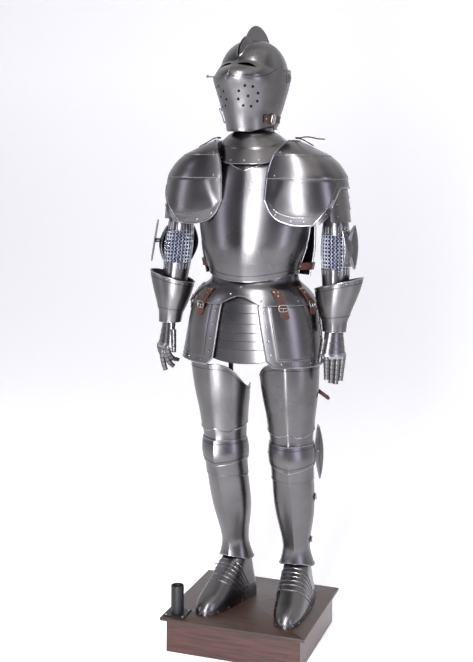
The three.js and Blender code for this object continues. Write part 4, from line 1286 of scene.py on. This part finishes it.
def add_finger(shape, place, x, length, curl):
    def surface(u, v, offset):
        a, t = lerp(-125, 125, v), 1 - u
        bend = curl * t
        r = lerp(10.2, 7.6, t) + offset
        down = length * (np.sin(bend) / curl if curl else t)
        inward = length * ((1 - np.cos(bend)) / curl if curl else 0.1 * t)
        front = r * cos(a)
        section = np.stack([x * lerp(1, 0.86, t) + r * sin(a), inward - 10 - front * np.cos(bend),
                            -front * np.sin(bend)], -1)
        return place(hand_turn(section) + np.stack([0 * t, 0 * t - 22, 958 - down], -1))

    def lames(u, v, offset):
        return surface(u, v, offset + steps(u, np.linspace(0, 1.001, 7), 1.1))

    shape.wall(lames, 36, 14)
    for u in np.linspace(0, 1, 7)[:-1]:
        shape.edge(surface, u, LINE[::3], 0.9, 0.5)


def add_thumb(shape, place):
    def surface(u, v, offset):
        a, t = lerp(-120, 120, v), 1 - u
        r = lerp(10.5, 8, t) + offset
        section = np.stack([-32 - 12 * t + r * sin(a), 2 + 4 * t - r * cos(a), 0 * t], -1)
        return place(hand_turn(section) + np.stack([0 * t, 0 * t - 20, lerp(1012, 938, t)], -1))

    shape.wall(surface, 24, 16)
    for u in (0, 0.25, 0.5, 0.75):
        shape.edge(surface, u, LINE[::3], 0.9, 0.3)


def mail(side, place):
    """Riveted rings over a thin dark sleeve; every other row of rings leans the other way."""
    sleeve = plate(ARM, 0, 360, 1209, 1361, -5, place, shape=2.0)
    rows, columns = 24, 56
    u = np.repeat(np.linspace(0, 1, rows + 1)[:, None], columns, 1)
    v = np.repeat((np.arange(columns) / columns)[None, :], rows + 1, 0)
    grid = np.arange((rows + 1) * columns).reshape(rows + 1, columns)
    grid = np.concatenate([grid, grid[:, :1]], 1)
    cloth = Shape()
    faces = np.stack([grid[:-1, :-1], grid[:-1, 1:], grid[1:, 1:], grid[1:, :-1]], -1).reshape(-1, 4)
    cloth.add(sleeve(u, v, 0.0), faces)
    rings = Shape()
    spots = plate(ARM, 0, 360, 1213, 1357, -3.6, place, shape=2.0)
    turns = np.linspace(0, 2 * math.pi, 10, endpoint=False)
    for row in range(26):
        lean = math.radians(45 if row % 2 else -45)
        for column in range(24):
            at_u, at_v = np.array(row / 25), np.array((column + 0.5 * (row % 2)) / 24)
            centre = spots(at_u, at_v, 0.0)
            out = spots(at_u, at_v, 1.0) - centre
            across = np.cross([0, 0, 1.0], out)
            across = across / np.linalg.norm(across)
            flat = across * math.cos(lean) + out * math.sin(lean)
            loop = centre + 5.0 * (np.cos(turns)[:, None] * flat + np.sin(turns)[:, None] * [0, 0, 1.0])
            rings.tube(loop, 0.85, 5, closed=True, paint=STEEL)
    cloth, rings = sided(cloth, side), sided(rings, side)
    backing = make_piece(f"mail_backing_{side}", cloth, (CLOTH,), [f"mail_sleeve_{side}"])
    links = make_piece(f"mail_rings_{side}", rings, (RING_STEEL,), (), sharp=80)


def make_plates(parts, side):
    for name, shape in parts.items():
        make_piece(f"{name}_plate_{side}", sided(shape, side), ARMOUR, [f"{name}_{side}"])


def make_arms():
    for side in SIDES:
        place = arm_place(side)
        parts = {
            "pauldron": pauldron(), "arm_lames": arm_lames(), "rerebrace": rerebrace(place),
            "couter": couter(place, ARM_SIDES[side]["wing"]), "vambrace": vambrace(place),
            "gauntlet_cuff": cuff(place), "gauntlet_hand": hand(place, CURL[side]),
        }
        make_plates(parts, side)
        mail(side, place)


make_arms()


# ---------------------------------------------------------------- legs
SHIN = {"shape": 2.1, "keel": 9, "span": 48}


def leg_place(side, turn_out):
    axis, lean = LEG_SIDES[side]["axis"], LEG_SIDES[side]["lean"]
    c, s = math.cos(math.radians(turn_out)), math.sin(math.radians(turn_out))

    def place(points):
        x, y, z = points[..., 0], points[..., 1], points[..., 2]
        return np.stack([x * c - y * s + axis + lean * (z - 300), x * s + y * c, z], -1)
    return place


def cuisse(place, leg):
    def low(a):
        return 688 + 24 * sin(np.abs(a) * 0.75) ** 2 + 15 * np.maximum(0, 1 - np.abs(a) / 32) ** 1.5

    def high(a):
        return leg["top"] - leg["dip"] * sin(np.clip(a, -90, 0)) ** 4

    surface = plate(LEG, -122, 122, low, high, LAYER, place, **SHIN)
    shape = Shape()
    shape.wall(surface, 44, 90)
    shape.border(surface, 2.4, 120)
    shape.edge(surface, 0.93, lerp(0.03, 0.97, LINE), 0.9, 0.1)
    shape.rivets(surface, [(0.05, v) for v in (0.04, 0.96)] + [(0.6, 0.02), (0.6, 0.98)], 3.2)
    return shape


def knee_lame(place, low, high):
    surface = plate(LEG, -104, 104, low, high, 0, place, **SHIN)
    shape = walled(surface, 14, 90, 1.5)
    shape.rivets(surface, [(0.3, 0.03), (0.3, 0.97)], 3.2)
    return shape


def poleyn(place, wing):
    def lift(u, v, a):
        return LAYER + 5 * np.sin(math.pi * u)

    def low(a):
        return 578 + 16 * np.minimum(np.abs(a) / 70, 1)

    cap = plate(LEG, -104, 104, low, 663, lift, place, shape=2.1, keel=13, span=48)
    shape = walled(cap, 30, 90, 1.8)
    for u in (0.14, 0.86):
        shape.edge(cap, u, LINE, 0.9, 0.1)
    shape.rivets(cap, [(0.5, 0.04), (0.5, 0.12), (0.5, 0.96)], 3.4)
    start, end = place(np.array([70, 12, 632.0])), place(np.array([86, wing, 632.0]))
    shape.tube([start, end], 7, 20, paint=STEEL)
    add_leaf(shape, leaf(place, 632, 92, 20, 18, 87, wing, 50, 0))
    return shape


def greave(place):
    def low(a):
        return 247 + np.where(cos(a) > 0, 16, 4) * cos(a) ** 2

    def high(a):
        return 536 + 18 * np.maximum(0, cos(a))

    surface = plate(LEG, 0, 360, low, high, -LAYER, place, **SHIN)
    shape = closed_plate(surface, 50, 90, 2.2, 1.6)
    shape.edge(surface, lerp(0.01, 0.99, LINE), 0.26, 0.9, 0.0)
    for u in (0.25, 0.75):
        shape.rivets(surface, [(u, 0.28), (u, 0.24)], 3.0)
    return shape


def foot_fan(points):
    """Angle of a point of the foot about a line across the heel: larger towards the toe."""
    return np.degrees(np.arctan2(60 - points[..., 1], points[..., 2] - 20))


FAN = [21, 25, 29, 33, 37, 42]


def sabaton(place):
    ring = {"shape": 2.9, "keel": 3, "span": 30}
    low, high = STANDING, 258

    def bare(u, v, offset):
        return ring_point(FOOT, v * 360, lerp(low, high, u), offset - 1, **ring)

    def surface(u, v, offset):
        fan = foot_fan(bare(u, v, 0.0))
        lift = -0.3 * np.ones_like(fan)
        for first, last in zip(FAN[:-1], FAN[1:]):
            lift = np.where((fan > first) & (fan <= last), 0.2 + 1.1 * (fan - first) / (last - first), lift)
        return place(bare(u, v, offset + lift))

    shape = Shape()
    shape.wall(surface, 90, 150, 2.6, wrapped=True)
    for edge in FAN:
        angle = lerp(-112, 112, LINE)
        bottom, top = np.full(len(angle), low), np.full(len(angle), float(high))
        for _ in range(30):
            middle = (bottom + top) / 2
            ahead = foot_fan(ring_point(FOOT, angle, middle, 0, **ring)) > edge
            bottom, top = np.where(ahead, middle, bottom), np.where(ahead, top, middle)
        kept = bottom > low + 0.5
        line = ring_point(FOOT, angle[kept], bottom[kept], 0.3, **ring)
        if len(line) > 4:
            shape.tube(place(line), 1.2)
    for angle in range(-100, 101, 20):
        spot = place(ring_point(FOOT, angle, 124, -0.6, **ring))
        away = place(ring_point(FOOT, angle, 124, 0.4, **ring)) - spot
        shape.rivet(spot, away, 2.4, 1.7)
    return shape


def calf_buckles(place):
    """Two small strapped buckles on the outer side of the shin plate."""
    straps_of, trim = Shape(), Shape()
    for z in (330, 480):
        surface = plate(LEG, 84, 118, z - 7, z + 7, 1.4, place, **SHIN)
        straps_of.wall(surface, 4, 16, 2.0, inside=0, paint=0)
        buckle(trim, surface, 0.5, 0.5, (0.4, 0), (0, 0.1), 9, 8, 1.1)
    return straps_of, trim


def make_legs():
    for side in SIDES:
        leg = LEG_SIDES[side]
        place = leg_place(side, leg["yaw"])
        parts = {
            "cuisse": cuisse(place, leg), "knee_lame_upper": knee_lame(place, 652, 706),
            "poleyn": poleyn(place, leg["wing"]), "knee_lame_lower": knee_lame(place, 544, 596),
            "greave": greave(place), "sabaton": sabaton(leg_place(side, leg["foot"])),
        }
        make_plates(parts, side)
        strap, trim = calf_buckles(place)
        make_piece(f"greave_strap_{side}", sided(strap, side), (HIDE,), ())
        make_piece(f"greave_buckle_{side}", sided(trim, side), (BUCKLE,))


make_legs()


def thigh_strap():
    """The free end of the strap that closes the left thigh plate behind."""
    def surface(u, v, offset):
        middle = np.array([190.0, 52, 834]) * (1 - v)[..., None] + np.array([242.0, 46, 803]) * v[..., None]
        half = 6.5 * np.sqrt(np.clip(1 - (np.maximum(v - 0.86, 0) / 0.14) ** 2, 0.04, 1))
        across = lerp(-half, half, u)[..., None] * np.array([0.3, 0.0, 0.95])
        return middle + across - np.array([0.1, 1.0, 0]) * offset

    make_piece("thigh_strap_end", leather_wall(surface, 6, 30), (HIDE,), ())


thigh_strap()


def foot_prong():
    """A small pin that stands out of the right foot's outer side."""
    shape = Shape()
    shape.tube([(-104, 4, 213), (-128, -2, 218), (-132, -3, 218.5)], [2.2, 2.2, 1.2], 12)
    make_piece("foot_prong_right", shape, ARMOUR)


foot_prong()


# ---------------------------------------------------------------- stand, plinth and socket
def rounded_box(width, depth, z, radius=1.5):
    """A rectangle's outline with small round corners, at one height."""
    points = []
    for quarter, (sx, sy) in enumerate(((1, 1), (-1, 1), (-1, -1), (1, -1))):
        for k in range(5):
            turn = math.radians(90 * quarter + 22.5 * k)
            points.append([sx * (width / 2 - radius) + radius * math.cos(turn),
                           sy * (depth / 2 - radius) + radius * math.sin(turn), z])
    return points


def plinth():
    width, depth = 477, 448
    shape = Shape()
    shape.loft([rounded_box(width - 34, depth - 34, z, r) for z, r in ((0, 1), (1, 2), (99, 2), (99.1, 1))])
    make_piece("plinth_box_wood", shape, (WOOD_FRONT,), ["plinth_box"], place=to_row)
    shape = Shape()
    profile = [[16, 99.5], [15.5, 101.5], [13.5, 104], [10.5, 106], [8, 107], [8, 107.5], [1, 107.5],
               [0, 108.5], [0, 115.5], [0.8, 116.9], [2, 117.5]]
    shape.loft([rounded_box(width - 2 * inset, depth - 2 * inset, z, 2.5) for inset, z in profile])
    make_piece("plinth_top_wood", shape, (WOOD_TOP,), ["plinth_top"], place=to_row, sharp=25)


def stand():
    foot, hip, back, shoulder = STANDING, 962, 52, 1488
    head_x, head_z = -17, 1872
    shape = Shape()
    for start, end in (
            ((-74, back, foot), (-100, back, hip)), ((149, back, foot), (106, back, hip)),
            ((-110, back, hip), (116, back, hip)), ((0, back, hip), (0, back, shoulder)),
            ((-236, back - 20, shoulder), (236, back - 20, shoulder)),
            ((0, back - 14, shoulder - 20), (head_x, back - 14, head_z))):
        shape.tube([start, end], 8, 24, paint=STEEL)
    for x in (-74, 149):
        shape.lathe([x, back, foot], [0, 0, 1], [[0, 14], [4, 14], [5, 12.5]], 32)
    ball = [[20 * -math.cos(t), max(20 * math.sin(t), 0.2)] for t in np.linspace(0, math.pi, 17)]
    shape.lathe([head_x, back - 14, head_z], [0, 0, 1], ball, 32)
    make_piece("stand_posts", shape, (BLACK,), ["stand_frame"])


def socket():
    x, y, low = -197, -174, STANDING
    shape = Shape()
    shape.loft([(np.array(rounded_box(72, 72, low + z, 3)) + [x, y, 0]).tolist() for z in (0, 3.4)]
               + [(np.array(rounded_box(71, 71, low + 4, 3)) + [x, y, 0]).tolist()])
    shape.lathe([x, y, low], [0, 0, 1], [[3, 18], [3, 20.5], [94, 20.5], [95, 20], [95, 18.4], [94, 18],
                                         [4.2, 18], [4.1, 0.2]], 48)
    for sx in (-1, 1):
        for sy in (-1, 1):
            spot = np.array([x + sx * 28, y + sy * 28, low + 3.9])
            shape.rivet(spot, [0, 0, 1], 4.2, 1.8)
    make_piece("socket_tube", shape, (BLACK, BUCKLE), ["weapon_socket"], place=to_row)


plinth()
stand()
socket()


# ---------------------------------------------------------------- floor and light
def floor():
    mesh = bpy.data.meshes.new("floor")
    side, front, back, bend, top = 9.0, -6.0, 3.2, 2.4, 6.0
    profile = [(front, 0.0), (back, 0.0)]
    for turn in np.linspace(0.1, math.pi / 2, 16):
        profile.append((back + bend * math.sin(turn), bend - bend * math.cos(turn)))
    profile.append((back + bend, top))
    points = [(x, y, z) for y, z in profile for x in (-side, side)]
    strips = [(2 * k, 2 * k + 1, 2 * k + 3, 2 * k + 2) for k in range(len(profile) - 1)]
    mesh.from_pydata(points, [], strips)
    mesh.materials.append(paint_material("floor", (0.86, 0.86, 0.87), (0.90, 0.90, 0.91), (0.7, 0.8)))
    mesh.shade_smooth()
    glow = mesh.materials[0].node_tree.nodes["Principled BSDF"]
    glow.inputs["Emission Color"].default_value = (1, 1, 1, 1)
    glow.inputs["Emission Strength"].default_value = 0.35
    plane = bpy.data.objects.new("floor", mesh)
    bpy.context.scene.collection.objects.link(plane)


def area_light(name, place, target, size, power_w, colour):
    data = bpy.data.lights.new(name, "AREA")
    data.shape = "RECTANGLE"
    data.size, data.size_y = size
    data.energy = power_w
    data.color = colour
    light = bpy.data.objects.new(name, data)
    light.location = place
    light.rotation_euler = (Vector(target) - Vector(place)).to_track_quat("-Z", "Y").to_euler()
    bpy.context.scene.collection.objects.link(light)


def world():
    """Pale behind and above the suit, greyer on the camera's side."""
    sky = bpy.data.worlds.new("studio")
    bpy.context.scene.world = sky
    sky.use_nodes = True
    nodes, links = sky.node_tree.nodes, sky.node_tree.links
    place = nodes.new("ShaderNodeTexCoord")
    split = nodes.new("ShaderNodeSeparateXYZ")
    links.new(place.outputs["Generated"], split.inputs["Vector"])
    range_y = nodes.new("ShaderNodeMapRange")
    range_y.inputs["From Min"].default_value = -0.9
    range_y.inputs["From Max"].default_value = 0.35
    links.new(split.outputs["Y"], range_y.inputs["Value"])
    colour = ramp(nodes, links, range_y.outputs["Result"], [
        (0.0, (0.13, 0.13, 0.16)), (0.45, (0.20, 0.19, 0.23)), (0.8, (0.60, 0.58, 0.62)), (1.0, (1, 1, 1))])
    links.new(colour, nodes["Background"].inputs["Color"])
    nodes["Background"].inputs["Strength"].default_value = 1.0


floor()
area_light("strip", (0.42, -3.4, 1.5), (-0.02, 0.04, 1.1), (0.42, 2.8), 165, (0.94, 0.94, 1.0))
area_light("overhead", (0.6, -1.2, 4.0), (0, 0, 1.2), (3.6, 3.0), 30, (1.0, 0.97, 0.90))
area_light("top_strip", (0.40, -2.3, 3.5), (0.05, 0, 0.9), (0.35, 1.8), 65, (0.96, 0.95, 1.0))
area_light("left_fill", (3.0, -1.4, 1.6), (0, 0, 1.1), (0.7, 2.6), 28, (0.80, 0.78, 1.0))
area_light("right_fill", (-3.0, -1.8, 1.8), (0, 0, 1.1), (0.6, 2.6), 22, (0.88, 0.85, 1.0))
world()
bpy.context.scene.view_settings.view_transform = "Standard"
